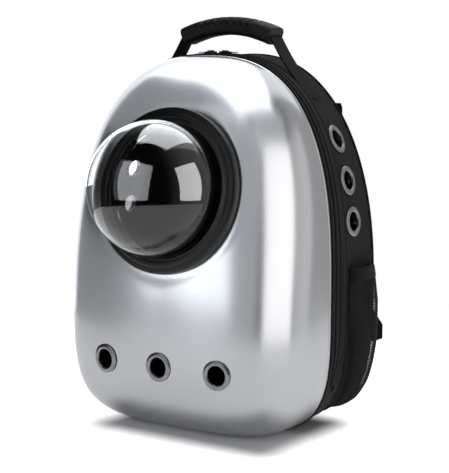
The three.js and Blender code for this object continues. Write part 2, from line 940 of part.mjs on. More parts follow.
const frontSeats = frontEyeletSeats();
const sideSeats = sideEyeletSeats();

addPiece("shell", makeShell(frontSeats.map((seat) => eyeletHole(seat, shellWall))), "shell");
addBubble();
for (const seat of frontSeats) addEyelet(seat.name, seat, shellWall);
addPiece("rim_binding", makeBinding(), "cloth");
addPiece("body", makeBody(sideSeats.map((seat) => eyeletHole(seat, clothWall))), "cloth");
for (const seat of sideSeats) addEyelet(seat.name, seat, clothWall);
addPiece("zipper", makeZip(), "cloth");
addSliders();
addPiece("back_piping", makeBackPiping(), "cloth");
addPiece("back_panel", makeBackPanel(), "cloth");
addPiece("back_yoke", makeYoke(), "cloth");
addPiece("handle_grip", makeGrip(), "rubber");
addPiece("handle_strap", makeHandleStrap(), "webbing");

const tab = tabLine();
const line = webbingLine(tab);
const pairs = {
  pocket_net: { make: makePocketNet, finish: "mesh" },
  pocket_hem: { make: makePocketHem, finish: "cloth" },
  shoulder_strap: { make: () => makeShoulderStrap(line), finish: "cloth" },
  strap_adjuster: { make: () => makeAdjuster(line), finish: "black" },
  strap_webbing: { make: () => makeStrapWebbing(line), finish: "webbing" },
  strap_tab: { make: () => makeTab(tab), finish: "cloth" },
};
for (const [name, { make, finish }] of Object.entries(pairs)) {
  const right = make();
  addPiece(`${name}_right`, right, finish);
  addPiece(`${name}_left`, mirrored(right), finish);
}

// The origin is the middle of the pack's box, on the floor
pack.updateMatrixWorld(true);
const box = new THREE.Box3().setFromObject(pack, true);
const middle = box.getCenter(new THREE.Vector3());
pack.position.set(-middle.x, -middle.y, -box.min.z);
pack.updateMatrixWorld(true);

export default pack;
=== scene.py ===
# %% [markdown]
# # A bubble pet carrier backpack
#
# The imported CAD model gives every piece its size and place. This lesson dresses it: a lacquered
# shell with a clear bubble, a cloth body with a zip, vent eyelets, net pockets, a rubber grip and
# padded straps. Each step says what the piece is on the real pack, how it could be made, and why
# it is made this way.

from contextlib import contextmanager
from math import atan2, cos, hypot, pi, radians, sin

import bmesh
import bpy
import numpy as np
from mathutils import Matrix, Vector


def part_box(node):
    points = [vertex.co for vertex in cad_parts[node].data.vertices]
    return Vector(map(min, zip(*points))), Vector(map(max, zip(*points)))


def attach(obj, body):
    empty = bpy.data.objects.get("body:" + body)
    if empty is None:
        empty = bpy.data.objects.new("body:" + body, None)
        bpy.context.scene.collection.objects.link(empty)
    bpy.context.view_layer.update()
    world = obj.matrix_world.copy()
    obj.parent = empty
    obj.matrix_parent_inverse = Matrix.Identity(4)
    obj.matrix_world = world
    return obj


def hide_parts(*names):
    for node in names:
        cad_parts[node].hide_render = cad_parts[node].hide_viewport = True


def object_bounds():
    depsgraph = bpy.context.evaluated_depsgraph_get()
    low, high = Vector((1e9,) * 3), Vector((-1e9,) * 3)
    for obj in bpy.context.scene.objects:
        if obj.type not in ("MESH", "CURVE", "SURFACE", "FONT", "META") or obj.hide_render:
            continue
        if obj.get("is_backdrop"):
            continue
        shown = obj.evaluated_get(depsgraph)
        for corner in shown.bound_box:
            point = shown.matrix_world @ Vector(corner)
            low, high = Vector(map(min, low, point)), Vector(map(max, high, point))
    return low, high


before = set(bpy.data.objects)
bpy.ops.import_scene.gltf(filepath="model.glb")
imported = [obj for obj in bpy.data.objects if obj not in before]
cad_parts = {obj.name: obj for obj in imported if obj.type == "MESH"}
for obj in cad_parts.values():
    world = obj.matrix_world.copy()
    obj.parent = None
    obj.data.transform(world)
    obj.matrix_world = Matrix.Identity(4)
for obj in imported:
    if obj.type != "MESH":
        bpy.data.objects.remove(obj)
cad_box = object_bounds()
MM = 0.001
UP, BACK = Vector((0, 0, 1)), Vector((0, 1, 0))
MIRROR = Vector((-1, 1, 1))  # a right-hand point times this is its left-hand twin
print("CAD nodes:", len(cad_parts))

# %% [markdown]
# ## The camera and the studio
#
# The camera stands in front of the pack's right shoulder, a little above its middle. The lens is
# long, so the sides hardly converge. The picture is taller than it is wide, so the sensor's width
# is laid on the height, and a small shift puts the pack where the picture has it.

# %% Place the camera
PICTURE_WIDE, PICTURE_HIGH = 449, 473
AIM = Vector((0, 18.8 * MM, 210 * MM))
CAMERA_TURN, CAMERA_RISE = radians(34.587), radians(7.998)
CAMERA_AWAY = 1641.5 * MM
FOCAL_PIXELS = 1429.2
MIDDLE_X, MIDDLE_Y = 208.7, 239.6  # where the lens axis meets the picture, in its pixels
SENSOR = 36.0


def way_to(turn, rise):
    """The way that lies a turn from the front, towards the right, and a rise above level."""
    return Vector((sin(turn) * cos(rise), -cos(turn) * cos(rise), sin(rise)))


backwards = way_to(CAMERA_TURN, CAMERA_RISE)
bpy.ops.object.camera_add(location=AIM + backwards * CAMERA_AWAY)
camera = bpy.context.object
camera.rotation_mode = "QUATERNION"
camera.rotation_quaternion = (-backwards).to_track_quat("-Z", "Y")
camera.data.sensor_width = SENSOR
camera.data.lens = FOCAL_PIXELS * SENSOR / PICTURE_HIGH
camera.data.shift_x = (PICTURE_WIDE / 2 - MIDDLE_X) / PICTURE_HIGH
camera.data.shift_y = (MIDDLE_Y - PICTURE_HIGH / 2) / PICTURE_HIGH
bpy.context.scene.camera = camera
print("lens", round(camera.data.lens, 1), "mm")

# %% [markdown]
# Lacquer and clear plastic show the room around them, so a studio lights each with boxes of its
# own and adds the pictures up. Light linking does the same here: some boxes light everything, and
# some only the shell or only the bubble. Each stands where the photograph's reflections ask for it.

# %% Hang the soft boxes
LIGHT_AIM = Vector((0, 0, 250 * MM))
# name, what it lights, direction (degrees from the front towards the right, and up), distance,
# width, height, glow
SOFT_BOXES = [
    ("overhead_box", "all", 178, 66, 1.55, 1.5, 2.0, 0.8),
    ("front_box", "all", -9, 16, 1.60, 1.5, 1.75, 0.55),
    ("right_box", "all", 95, 12, 1.50, 1.15, 1.45, 0.35),
    ("bubble_overhead", "bubble", -168, 74, 1.48, 1.25, 1.48, 4.2),
    ("bubble_front", "bubble", 0, 16, 1.52, 1.47, 1.66, 2.6),
    ("bubble_right", "bubble", 95, 12, 1.42, 1.09, 1.37, 5.2),
    ("bubble_rear_left", "bubble", -135, 18, 1.80, 1.0, 1.5, 2.2),
    ("shell_top", "shell", -52, 77, 1.50, 2.0, 1.42, 2.4),
    ("shell_fill", "shell", -62, 36, 1.45, 1.9, 0.85, 0.36),
    ("shell_low", "shell", -62, -11, 1.90, 2.8, 0.75, 0.36),
    ("shell_fill_right", "shell", 45, 47, 1.45, 1.2, 0.6, 0.50),
    ("shell_strip", "shell", 48.5, 3, 1.50, 1.42, 2.0, 1.75),
    ("shell_spot", "shell", -23, -1, 1.50, 0.74, 0.44, 1.7),
    ("shell_rear_left", "shell", -128, 20, 1.90, 2.2, 2.5, 1.25),
]
WARM, COOL = (1.0, 0.985, 0.965), (0.93, 0.96, 1.0)
WARM_BOXES = {"right_box", "bubble_right", "shell_strip"}
lit = {name: bpy.data.collections.new(f"lit_{name}") for name in ("shell", "bubble")}


def hang_soft_box(name, lights, turn, rise, away, wide, high, glow):
    """An area light that faces the pack. Its power is worked out from how bright it looks."""
    towards = way_to(radians(turn), radians(rise))
    bpy.ops.object.light_add(type="AREA", location=LIGHT_AIM + towards * away)
    box = bpy.context.object
    box.name = box.data.name = name
    box.rotation_euler = towards.to_track_quat("Z", "Y").to_euler()
    box.data.shape = "RECTANGLE"
    box.data.size, box.data.size_y = wide, high
    box.data.energy = glow * pi * wide * high
    box.data.color = WARM if name in WARM_BOXES else COOL
    box.visible_camera = False
    if lights in lit:
        box.light_linking.receiver_collection = lit[lights]
    return box


for row in SOFT_BOXES:
    hang_soft_box(*row)
print("soft boxes:", len(SOFT_BOXES))

# %% [markdown]
# The room itself is pale behind the pack and at its right, and dark in front of it. The camera
# always sees plain white, as in a catalogue picture.

# %% Paint the room
ROOM_FRONT, ROOM_BEHIND = 0.02, 0.45
ROOM_LEAN = 0.45  # how much the right counts towards being behind
ROOM_FADE = (-0.25, 0.75)  # how far back, from -1 to 1, the fade starts and ends

world = bpy.data.worlds.new("studio")
bpy.context.scene.world = world
world.use_nodes = True
room = world.node_tree
room.nodes.clear()
direction, parts, lean, fade, seen, choice, sky, room_output = (
    room.nodes.new("ShaderNode" + kind)
    for kind in (
        "TexCoord", "SeparateXYZ", "Math", "MapRange", "LightPath", "Mix", "Background", "OutputWorld"
    )
)
fade.interpolation_type = "SMOOTHSTEP"
lean.operation = "MULTIPLY_ADD"
lean.inputs[1].default_value = ROOM_LEAN
fade.inputs["From Min"].default_value, fade.inputs["From Max"].default_value = ROOM_FADE
fade.inputs["To Min"].default_value = ROOM_FRONT
fade.inputs["To Max"].default_value = ROOM_BEHIND
choice.inputs["B"].default_value = 1.0
for source, target in (
    (direction.outputs["Generated"], parts.inputs[0]),
    (parts.outputs["X"], lean.inputs[0]),
    (parts.outputs["Y"], lean.inputs[2]),
    (lean.outputs[0], fade.inputs["Value"]),
    (seen.outputs["Is Camera Ray"], choice.inputs["Factor"]),
    (fade.outputs["Result"], choice.inputs["A"]),
    (choice.outputs["Result"], sky.inputs["Color"]),
    (sky.outputs[0], room_output.inputs["Surface"]),
):
    room.links.new(source, target)
bpy.context.scene.view_settings.view_transform = "Standard"

# %% [markdown]
# ## Tools for making pieces
#
# An operator works on whatever is selected, so every piece starts with nothing selected. These
# helpers do that, apply a modifier, and hand a finished piece to its body.

# %% Selecting and editing
WELD = 1e-6  # corners closer than this are one


def let_go():
    """Leaves edit mode and selects nothing."""
    if bpy.context.object and bpy.context.object.mode != "OBJECT":
        bpy.ops.object.mode_set(mode="OBJECT")
    bpy.ops.object.select_all(action="DESELECT")


def take(*pieces):
    """Selects these pieces alone. The last one is active."""
    let_go()
    for piece in pieces:
        piece.select_set(True)
    bpy.context.view_layer.objects.active = pieces[-1]


def begin(name, primitive, **settings):
    """Adds a primitive by itself and names it."""
    let_go()
    primitive(**settings)
    piece = bpy.context.object
    piece.name = piece.data.name = name
    return piece


@contextmanager
def editing(piece, mode="VERT", select=True):
    """Edit mode on one piece, with everything selected or nothing."""
    take(piece)
    bpy.ops.object.mode_set(mode="EDIT")
    bpy.ops.mesh.select_mode(type=mode)
    bpy.ops.mesh.select_all(action="SELECT" if select else "DESELECT")
    yield bmesh.from_edit_mesh(piece.data)
    bpy.ops.object.mode_set(mode="OBJECT")


def weld():
    """Merges the corners that meet and turns the faces outwards, in edit mode."""
    bpy.ops.mesh.select_all(action="SELECT")
    bpy.ops.mesh.remove_doubles(threshold=WELD)
    bpy.ops.mesh.normals_make_consistent(inside=False)


def modify(piece, kind, **settings):
    """Adds a modifier and applies it."""
    take(piece)
    modifier = piece.modifiers.new(kind.lower(), kind)
    for setting, value in settings.items():
        setattr(modifier, setting, value)
    bpy.ops.object.modifier_apply(modifier=modifier.name)


def soften(piece, width, segments=2, angle=28):
    """Rounds the hard edges."""
    modify(
        piece, "BEVEL", width=width, segments=segments, limit_method="ANGLE", angle_limit=radians(angle)
    )


def settle(piece, finish, slot, *nodes, smooth=40):
    """Finishes a piece: smooth faces, its material, its body, and the CAD nodes it stands for."""
    take(piece)
    bpy.ops.object.shade_smooth_by_angle(angle=radians(smooth))
    piece.data.materials.clear()
    for material in finish if isinstance(finish, tuple) else (finish,):
        piece.data.materials.append(material)
    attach(piece, "root")
    if nodes:
        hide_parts(*nodes)
    print(f"{piece.name}: {len(piece.data.polygons)} faces")
    return piece


# %% [markdown]
# Bands, straps and walls all have a section that is carried along a line. By hand one would
# extrude and place ring after ring. A grid whose corners are sent to the rings gives the same
# skin at once, and its own flat pattern is stretched to real metres, so that a weave keeps its
# scale on every piece.

# %% Skinning rings
def loft(name, rings, tour=False):
    """A closed skin over rings of points. A tour joins the last ring to the first.

    The pattern's first direction runs round a ring, the second from ring to ring."""
    rings = np.array([[*ring, ring[0]] for ring in rings], float)
    if tour:
        rings = np.concatenate([rings, rings[:1]])
    rows, columns = rings.shape[0] - 1, rings.shape[1] - 1
    piece = begin(
        name, bpy.ops.mesh.primitive_grid_add, x_subdivisions=columns, y_subdivisions=rows, size=1
    )
    corners = np.empty(len(piece.data.vertices) * 3)
    piece.data.vertices.foreach_get("co", corners)
    column, row = np.rint((corners.reshape(-1, 3)[:, :2] + 0.5) * (columns, rows)).astype(int).T
    piece.data.vertices.foreach_set("co", rings[row, column].ravel())

    round_it = np.linalg.norm(np.diff(rings, axis=1), axis=2).mean(axis=0)
    along_it = np.linalg.norm(np.diff(rings, axis=0), axis=2).mean(axis=1)
    pattern = piece.data.uv_layers.active.data
    flat = np.empty(len(pattern) * 2)
    pattern.foreach_get("uv", flat)
    column, row = np.rint(flat.reshape(-1, 2) * (columns, rows)).astype(int).T
    metres = (np.append(0, round_it.cumsum())[column], np.append(0, along_it.cumsum())[row])
    pattern.foreach_set("uv", np.stack(metres, axis=1).ravel())

    with editing(piece):
        bpy.ops.mesh.remove_doubles(threshold=WELD)
        bpy.ops.mesh.fill_holes(sides=0)
        bpy.ops.mesh.normals_make_consistent(inside=False)
    return piece


def mirrored(piece):
    """A copy of a right-hand piece on the left, with a mesh of its own."""
    take(piece)
    bpy.ops.object.duplicate()
    twin = bpy.context.object
    twin.name = twin.data.name = piece.name.replace("right", "left")
    with editing(twin):
        bpy.ops.transform.resize(value=(-1, 1, 1), orient_type="GLOBAL", center_override=(0, 0, 0))
        weld()
    return twin


def settle_pair(right, finish, slot, *nodes, smooth=40):
    """Finishes a right-hand piece and its copy on the left."""
    left = mirrored(right)
    settle(right, finish, slot, *nodes, smooth=smooth)
    settle(left, finish, slot, *(node.replace("right", "left") for node in nodes), smooth=smooth)
    return right, left


def placed(here, x, y, z):
    """The matrix that lays an object's own axes along three ways, at a point."""
    place = Matrix((x, y, z)).transposed().to_4x4()
    place.translation = here
    return place


def facing(here, way):
    """The matrix that points an object's Z a given way, at a point."""
    return Matrix.Translation(here) @ way.to_track_quat("Z", "Y").to_matrix().to_4x4()


# %% [markdown]
# Eyelets and the bezel are turned pieces. A circle of as many corners as the profile has is laid
# on the profile and spun round.

# %% Turning a profile
def turned(name, profile, steps=96):
    """A closed profile of (radius, height) points, spun about Z."""
    piece = begin(name, bpy.ops.mesh.primitive_circle_add, vertices=len(profile), fill_type="NOTHING")
    for corner, (radius, height) in zip(piece.data.vertices, profile):
        corner.co = (radius, 0, height)
    with editing(piece):
        bpy.ops.mesh.spin(steps=steps, angle=2 * pi, center=(0, 0, 0), axis=(0, 0, 1))
        weld()
    return piece


# %% [markdown]
# Thread is the smallest thing that shows. One stitch is modelled from a small ball, and a row of
# stitches is that ball copied along a line into one mesh.

# %% Sewing
STITCH_PITCH, STITCH_LENGTH, THREAD = 3.4 * MM, 2.5 * MM, 0.55 * MM


def copy_along(name, model, places):
    """One mesh of many copies of a small model, which is then removed."""
    shape = np.array([corner.co for corner in model.data.vertices])
    faces = [tuple(face.vertices) for face in model.data.polygons]
    corners, sides = [], []
    for i, place in enumerate(places):
        turn = np.array(place.to_3x3())
        corners.append(shape @ turn.T + np.array(place.translation))
        sides += [tuple(k + i * len(shape) for k in face) for face in faces]
    mesh = bpy.data.meshes.new(name)
    mesh.from_pydata(np.concatenate(corners).tolist(), [], sides)
    piece = bpy.data.objects.new(name, mesh)
    bpy.context.collection.objects.link(piece)
    bpy.data.objects.remove(model)
    return piece


def places_along(line, outward, pitch):
    """Frames along a line of points: X runs along it and Z points outward."""
    line, outward = np.array(line, float), np.array(outward, float)
    reach = np.append(0, np.linalg.norm(np.diff(line, axis=0), axis=1).cumsum())
    places = []
    for at in np.arange(pitch / 2, reach[-1], pitch):
        here, ahead, out = (
            Vector([np.interp(s, reach, values[:, k]) for k in range(3)])
            for s, values in ((at, line), (min(at + 0.5 * MM, reach[-1]), line), (at, outward))
        )
        along = (ahead - here).normalized()
        side = out.cross(along).normalized()
        places.append(placed(here, along, side, along.cross(side)))
    return places


def sew(name, lines, finish, slot="binding_cloth"):
    """Rows of stitches along lines, each a pair: its points and the way out at each."""
    stitch = begin("stitch", bpy.ops.mesh.primitive_uv_sphere_add, segments=6, ring_count=4, radius=0.5)
    with editing(stitch):
        bpy.ops.transform.resize(value=(STITCH_LENGTH, THREAD, THREAD))
    places = [place for line, out in lines for place in places_along(line, out, STITCH_PITCH)]
    return settle(copy_along(name, stitch, places), finish, slot, smooth=80)


# %% [markdown]
# ## Tools for making finishes
#
# A finish is a small tree of shader nodes. Writing one is mostly arithmetic, so a value in it
# knows Python's own signs, and an expression adds the Math nodes.

# %% Shader values
class Value:
    """One output in a finish. Arithmetic on it adds Math nodes."""

    def __init__(self, finish, socket):
        self.finish, self.socket = finish, socket

    def wave(self, pitch):
        """A sine with that pitch."""
        return self.finish.maths("SINE", self * (2 * pi / pitch))

    def whole(self):
        return self.finish.maths("FLOOR", self)

    def ease(self, low, high):
        """0 below low, 1 above high, and smooth between them."""
        return self.finish.node(
            "ShaderNodeMapRange",
            {"interpolation_type": "SMOOTHSTEP"},
            {"Value": self, "From Min": low, "From Max": high},
        )


def sign_for(operation, turned_round=False):
    """A method for one of Python's signs. Turned round, it takes what stands before the value."""

    def work(self, *other):
        values = (*other, self) if turned_round else (self, *other)
        return self.finish.maths(operation, *values)

    return work


for sign_name, operation in (
    ("add", "ADD"), ("sub", "SUBTRACT"), ("mul", "MULTIPLY"), ("truediv", "DIVIDE"), ("pow", "POWER"),
    ("mod", "FLOORED_MODULO"), ("abs", "ABSOLUTE"), ("radd", "ADD"), ("rmul", "MULTIPLY"),
):
    setattr(Value, f"__{sign_name}__", sign_for(operation))
Value.__rsub__ = sign_for("SUBTRACT", turned_round=True)


class Finish:
    """A material and the nodes it is made of."""

    def __init__(self, name):
        self.material = bpy.data.materials.new(name)
        self.material.use_nodes = True
        self.tree = self.material.node_tree
        self.tree.nodes.clear()

    def node(self, kind, settings=None, inputs=None, result=0):
        made = self.tree.nodes.new(kind)
        for setting, value in (settings or {}).items():
            setattr(made, setting, value)
        for socket, value in (inputs or {}).items():
            if isinstance(value, Value):
                self.tree.links.new(value.socket, made.inputs[socket])
            else:
                made.inputs[socket].default_value = value
        return Value(self, made.outputs[result])

    def maths(self, operation, *values):
        return self.node("ShaderNodeMath", {"operation": operation}, dict(enumerate(values)))

    def place(self, source="Object"):
        """The point's coordinates: on the object in metres, or on the piece's own flat pattern."""
        return self.node("ShaderNodeTexCoord", result=source)

    def pattern(self):
        """The two metre coordinates of the piece's own flat pattern."""
        flat = self.place("UV")
        return (self.node("ShaderNodeSeparateXYZ", None, {0: flat}, axis) for axis in ("X", "Y"))

    def noise(self, size, detail=2.0, source="Object"):
        """Cloudy noise whose lumps are about that size in metres."""
        return self.node(
            "ShaderNodeTexNoise", None, {"Vector": self.place(source), "Scale": 1 / size, "Detail": detail}
        )

    def tint(self, factor, dark, light):
        """A colour between two others."""
        return self.node(
            "ShaderNodeMix", {"data_type": "RGBA"}, {0: factor, 6: (*dark, 1), 7: (*light, 1)}, 2
        )

    def bump(self, height, depth, strength=1.0):
        return self.node(
            "ShaderNodeBump", None, {"Strength": strength, "Distance": depth, "Height": height}
        )

    def close(self, **sockets):
        """Feeds the shader, whose sockets are named in words with underscores for spaces."""
        inputs = {name.replace("_", " "): value for name, value in sockets.items()}
        shader = self.node("ShaderNodeBsdfPrincipled", None, inputs)
        output = self.tree.nodes.new("ShaderNodeOutputMaterial")
        self.tree.links.new(shader.socket, output.inputs["Surface"])
        return self.material


def grey(level):
    return (level, level, level)


# %% [markdown]
# ## The finishes
#
# Silver lacquer is metal flake under a clear coat. The flakes are far smaller than a pixel, so
# they show as a soft blur of the room with a faint grain. A cell pattern gives each flake its own
# tilt and brightness.

# %% Silver lacquer and clear plastic
def make_silver_lacquer():
    finish = Finish("silver_lacquer")
    flakes = finish.node(
        "ShaderNodeTexVoronoi", None, {"Vector": finish.place(), "Scale": 1 / (0.45 * MM)}, "Color"
    )
    sparkle = finish.node("ShaderNodeSeparateXYZ", None, {0: flakes}, "X")
    haze = finish.noise(60 * MM, 3)
    return finish.close(
        Base_Color=finish.tint(sparkle * 0.35 + haze * 0.4, (0.53, 0.54, 0.56), (0.61, 0.62, 0.64)),
        Metallic=1.0,
        Roughness=0.19 + 0.05 * haze + 0.03 * sparkle,
        Normal=finish.bump(sparkle, 0.004 * MM, 0.25),
        Coat_Weight=0.35,
        Coat_Roughness=0.06,
    )


# The inside of the moulding is dark plastic, painted near black and nearly without gloss as the shade
# inside the pack.
def make_shell_inside_painted_shade():
    finish = Finish("shell_inside")
    grain = finish.noise(0.8 * MM, 3)
    return finish.close(
        Base_Color=finish.tint(grain, grey(0.001), grey(0.003)),
        Roughness=0.8 + 0.15 * grain,
        Specular_IOR_Level=0.05,
        Normal=finish.bump(grain, 0.05 * MM, 0.5),
    )


def make_clear_plastic():
    finish = Finish("clear_plastic")
    smears = finish.noise(25 * MM, 4)
    return finish.close(
        Base_Color=(0.97, 0.98, 0.985, 1),
        Roughness=0.012 * smears.ease(0.45, 0.8),
        IOR=1.49,
        Transmission_Weight=1.0,
    )


silver_lacquer = make_silver_lacquer()
shell_inside = make_shell_inside_painted_shade()
clear_plastic = make_clear_plastic()

# %% [markdown]
# The hard black parts differ in how they were made: the bezel is moulded with a low gloss, the
# grip is rubber with a dry skin, the buckles have a spark-eroded grain and the eyelets are plated
# steel with fine rings from the press.

# %% Plastics, rubber and metal
def make_moulded(name, level, rough, grain_size, grain_depth):
    finish = Finish(name)
    grain = finish.noise(grain_size, 2)
    worn = finish.noise(30 * MM, 4)
    return finish.close(
        Base_Color=finish.tint(worn, grey(level), grey(level * 1.5)),
        Roughness=rough + 0.12 * worn + 0.04 * grain,
        Normal=finish.bump(grain, grain_depth, 0.5),
    )


def make_plated(name, dark, light, rough):
    finish = Finish(name)
    rings = finish.noise(0.35 * MM, 2)
    cloud = finish.noise(6 * MM, 3)
    return finish.close(
        Base_Color=finish.tint(cloud, dark, light),
        Metallic=1.0,
        Roughness=rough + 0.14 * cloud,
        Normal=finish.bump(rings, 0.02 * MM, 0.4),
    )


bezel_black = make_moulded("bezel_black", 0.006, 0.28, 0.5 * MM, 0.012 * MM)
grip_rubber = make_moulded("grip_rubber", 0.012, 0.46, 0.6 * MM, 0.05 * MM)
buckle_plastic = make_moulded("buckle_plastic", 0.014, 0.36, 0.5 * MM, 0.03 * MM)
coil_nylon = make_moulded("coil_nylon", 0.018, 0.34, 0.4 * MM, 0.01 * MM)
slider_enamel = make_moulded("slider_enamel", 0.020, 0.20, 0.8 * MM, 0.01 * MM)
gunmetal = make_plated("gunmetal", (0.26, 0.26, 0.27), (0.40, 0.40, 0.41), 0.22)

# %% [markdown]
# The cloths share one idea. Threads run along both directions of the flat pattern, and a chequer
# says which one is on top. Webbing and tape are woven as ribs that lean one way and then the
# other. Lint and handling leave clouds of a slightly lighter black. Where the weave lies low, its
# colour is painted darker, as the shade between the threads.

# %% Woven cloth
def weave_height(finish, thread):
    """Plain weave: the height of the upper thread."""
    across, along = finish.pattern()
    chequer = ((across / thread).whole() + (along / thread).whole()) % 2
    return abs(across.wave(2 * thread)) * chequer + abs(along.wave(2 * thread)) * (1 - chequer)


def rib_height(finish, rib, lean):
    """Ribs that lean to and fro across the width, as on webbing and tape."""
    across, along = finish.pattern()
    zigzag = abs(across % (2 * lean) - lean)
    return 0.5 + 0.5 * (along + zigzag).wave(rib)


def make_cloth(name, height, pitch, level, depth, rough=0.78, sheen=0.06, gloss=0.25):
    """A black cloth whose threads are given by a height function, painted darker where they lie low, as
    shade.
    """
    finish = Finish(name)
    threads = height(finish, *pitch)
    cloud = finish.noise(22 * MM, 4)
    lint = finish.noise(1.6 * MM, 3).ease(0.56, 0.8)
    # The cloth's own clouds and lint, and painted shade where the weave lies low
    shade = threads * 0.45 + cloud * 0.4 + lint * 0.3
    return finish.close(
        Base_Color=finish.tint(shade, grey(level * 0.55), grey(level * 1.7)),
        Roughness=rough + 0.15 * cloud,
        Normal=finish.bump(threads + 0.5 * lint, depth, 0.8),
        Specular_IOR_Level=gloss,
        Sheen_Weight=sheen,
        Sheen_Roughness=0.5,
    )


body_cloth = make_cloth("body_cloth", weave_height, (0.9 * MM,), 0.013, 0.22 * MM)
binding_tape = make_cloth("binding_tape", rib_height, (1.1 * MM, 1.8 * MM), 0.011, 0.12 * MM)
zip_tape = make_cloth("zip_tape", rib_height, (1.0 * MM, 1.2 * MM), 0.013, 0.15 * MM)
webbing_weave = make_cloth("webbing_weave", rib_height, (2.2 * MM, 3.2 * MM), 0.015, 0.35 * MM)
net_yarn = make_cloth("net_yarn", weave_height, (0.5 * MM,), 0.04, 0.08 * MM, 0.6)
# The lining is black cloth painted darker still, with little gloss and no sheen, as the shade inside the
# pack.
lining_cloth_painted_shade = make_cloth("lining_cloth_painted_shade", weave_height, (0.7 * MM,), 0.002, 0.02 * MM, 0.9, 0.0, 0.05)
thread_black = make_cloth("thread_black", weave_height, (0.3 * MM,), 0.045, 0.05 * MM, 0.6)

# %% [markdown]
# Air mesh is a thick knit with rows of round holes, each row set half a hole along from the last.
# The holes are painted near black, as the shade inside them.

# %% Air mesh
def make_air_mesh(name, hole, level):
    finish = Finish(name)
    across, along = finish.pattern()
    row = (along / (0.87 * hole)).whole()
    x = (across / hole + 0.5 * (row % 2)) % 1 - 0.5
    y = (along / (0.87 * hole)) % 1 - 0.5
    knit = ((x * x + y * y) ** 0.5).ease(0.22, 0.42)
    cloud = finish.noise(25 * MM, 4)
    return finish.close(
        # The holes are painted near black: painted shade inside them
        Base_Color=finish.tint(knit * (0.6 + 0.4 * cloud), grey(level * 0.15), grey(level * 1.3)),
        Roughness=0.85 + 0.1 * cloud,
        Normal=finish.bump(knit, 0.7 * MM),
        Sheen_Weight=0.2,
    )


air_mesh = make_air_mesh("air_mesh", 3.6 * MM, 0.024)
print("finishes:", len(bpy.data.materials))

# %% [markdown]
# ## The outline of the pack
#
# Seen from the front, the pack is a rounded arch on a flat base. A superellipse gives it: one
# power for the top and one for the bottom, both a little rounder at the back. Everything that
# follows the edge asks the same two functions, so all of it fits.

# %% The outline and the cloth surface
HEIGHT, HALF_WIDTH = 420 * MM, 162.5 * MM
WIDEST, BASE_TRIM = 163 * MM, 3 * MM
BODY_DEPTH = 92 * MM
UPPER_POWERS, LOWER_POWERS = (2.66, 2.24), (4.2, 3.5)  # at the shell, and at the back
SEAM_GAP, CLOTH_GAP = 0.3 * MM, 0.5 * MM
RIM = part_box("shell")[1].y


def lerp(low, high, share):
    return low + (high - low) * share


def squared(value, power):
    """A sine or cosine raised to a power with its sign kept, which squares off a round section."""
    return abs(value) ** power * (1 if value >= 0 else -1)


def eased(value, low, high):
    """0 below low, 1 above high, with no kink in the curve or its bend."""
    share = min(max((value - low) / (high - low), 0), 1)
    return share**3 * (share * (6 * share - 15) + 10)


def outline(angle, depth=0.0):
    """The outline's x and z at an angle, at a depth behind the shell's rim."""
    share = min(max(depth / BODY_DEPTH, 0), 1)
    below = sin(angle) < 0
    power = lerp(*(LOWER_POWERS if below else UPPER_POWERS), share)
    reach = WIDEST + BASE_TRIM if below else HEIGHT - WIDEST
    size = (abs(cos(angle)) ** power + abs(sin(angle)) ** power) ** (-1 / power)
    return HALF_WIDTH * size * cos(angle), WIDEST + reach * size * sin(angle)


def on_body(depth, angle, out=0.0):
    """A point of the cloth body's surface, moved out from it and never below the floor."""
    step = 1e-3
    (x0, z0), (x1, z1) = outline(angle - step, depth), outline(angle + step, depth)
    along = Vector((x1 - x0, z1 - z0)).normalized()
    x, z = outline(angle, depth)
    return Vector((x + along.y * out, RIM + depth, max(z - along.x * out, 0, -out)))


def out_of_body(depth, angle):
    return (on_body(depth, angle, MM) - on_body(depth, angle)).normalized()


def angle_at(height, depth):
    """The outline's angle where its right side passes a height."""
    above = height >= WIDEST
    share = min(max(depth / BODY_DEPTH, 0), 1)
    power = lerp(*(UPPER_POWERS if above else LOWER_POWERS), share)
    reach = HEIGHT - WIDEST if above else WIDEST + BASE_TRIM
    rise = min(abs(height - WIDEST) / reach, 1)
    return atan2(rise if above else -rise, (1 - rise**power) ** (1 / power))


def even_angles(count, low=-pi / 2, high=1.5 * pi, depth=BODY_DEPTH / 2):
    """Angles between two others, evenly spaced along the outline."""
    fine = np.linspace(low, high, 4000)
    points = np.array([outline(angle, depth) for angle in fine])
    reach = np.append(0, np.linalg.norm(np.diff(points, axis=0), axis=1).cumsum())
    return np.interp(np.linspace(0, reach[-1], count), reach, fine)


ROUND = even_angles(421)[:-1]
print("rim plane at y =", round(RIM, 4))

# %% [markdown]
# ## The hard shell
#
# The real shell is pressed from one sheet and lacquered. Its section is a superellipse too, flat
# in front and steep at the rim, so it is skinned from rings that run from the middle of the front
# out to the rim, and back again on the inside for the wall. Gloss shows every kink, so the rings
# crowd where the surface turns, and the flat seat under the bezel blends in with no kink in its
# bend.

# %% The shell's surface
SHELL_DEPTH, SHELL_WALL = 98 * MM, 2.5 * MM
CROWN_HEIGHT, TOP_SETBACK = 107.5 * MM, 4 * MM
SIDE_POWER, TOP_POWER, BOTTOM_POWER = 3.27, 2.17, 3.62


def crown_power(rim):
    lift = sin(atan2(rim[1] - CROWN_HEIGHT, rim[0]))
    return lerp(SIDE_POWER, TOP_POWER if lift > 0 else BOTTOM_POWER, lift * lift)


def crowned(rim, share, bulge):
    """The shell's point at a share of the way to the rim, bulging forward by a share of its depth."""
    height = CROWN_HEIGHT + (rim[1] - CROWN_HEIGHT) * share
    setback = TOP_SETBACK * (height - CROWN_HEIGHT) / (HEIGHT - CROWN_HEIGHT)
    return Vector((rim[0] * share, RIM - (SHELL_DEPTH - setback) * bulge, max(height, 0)))


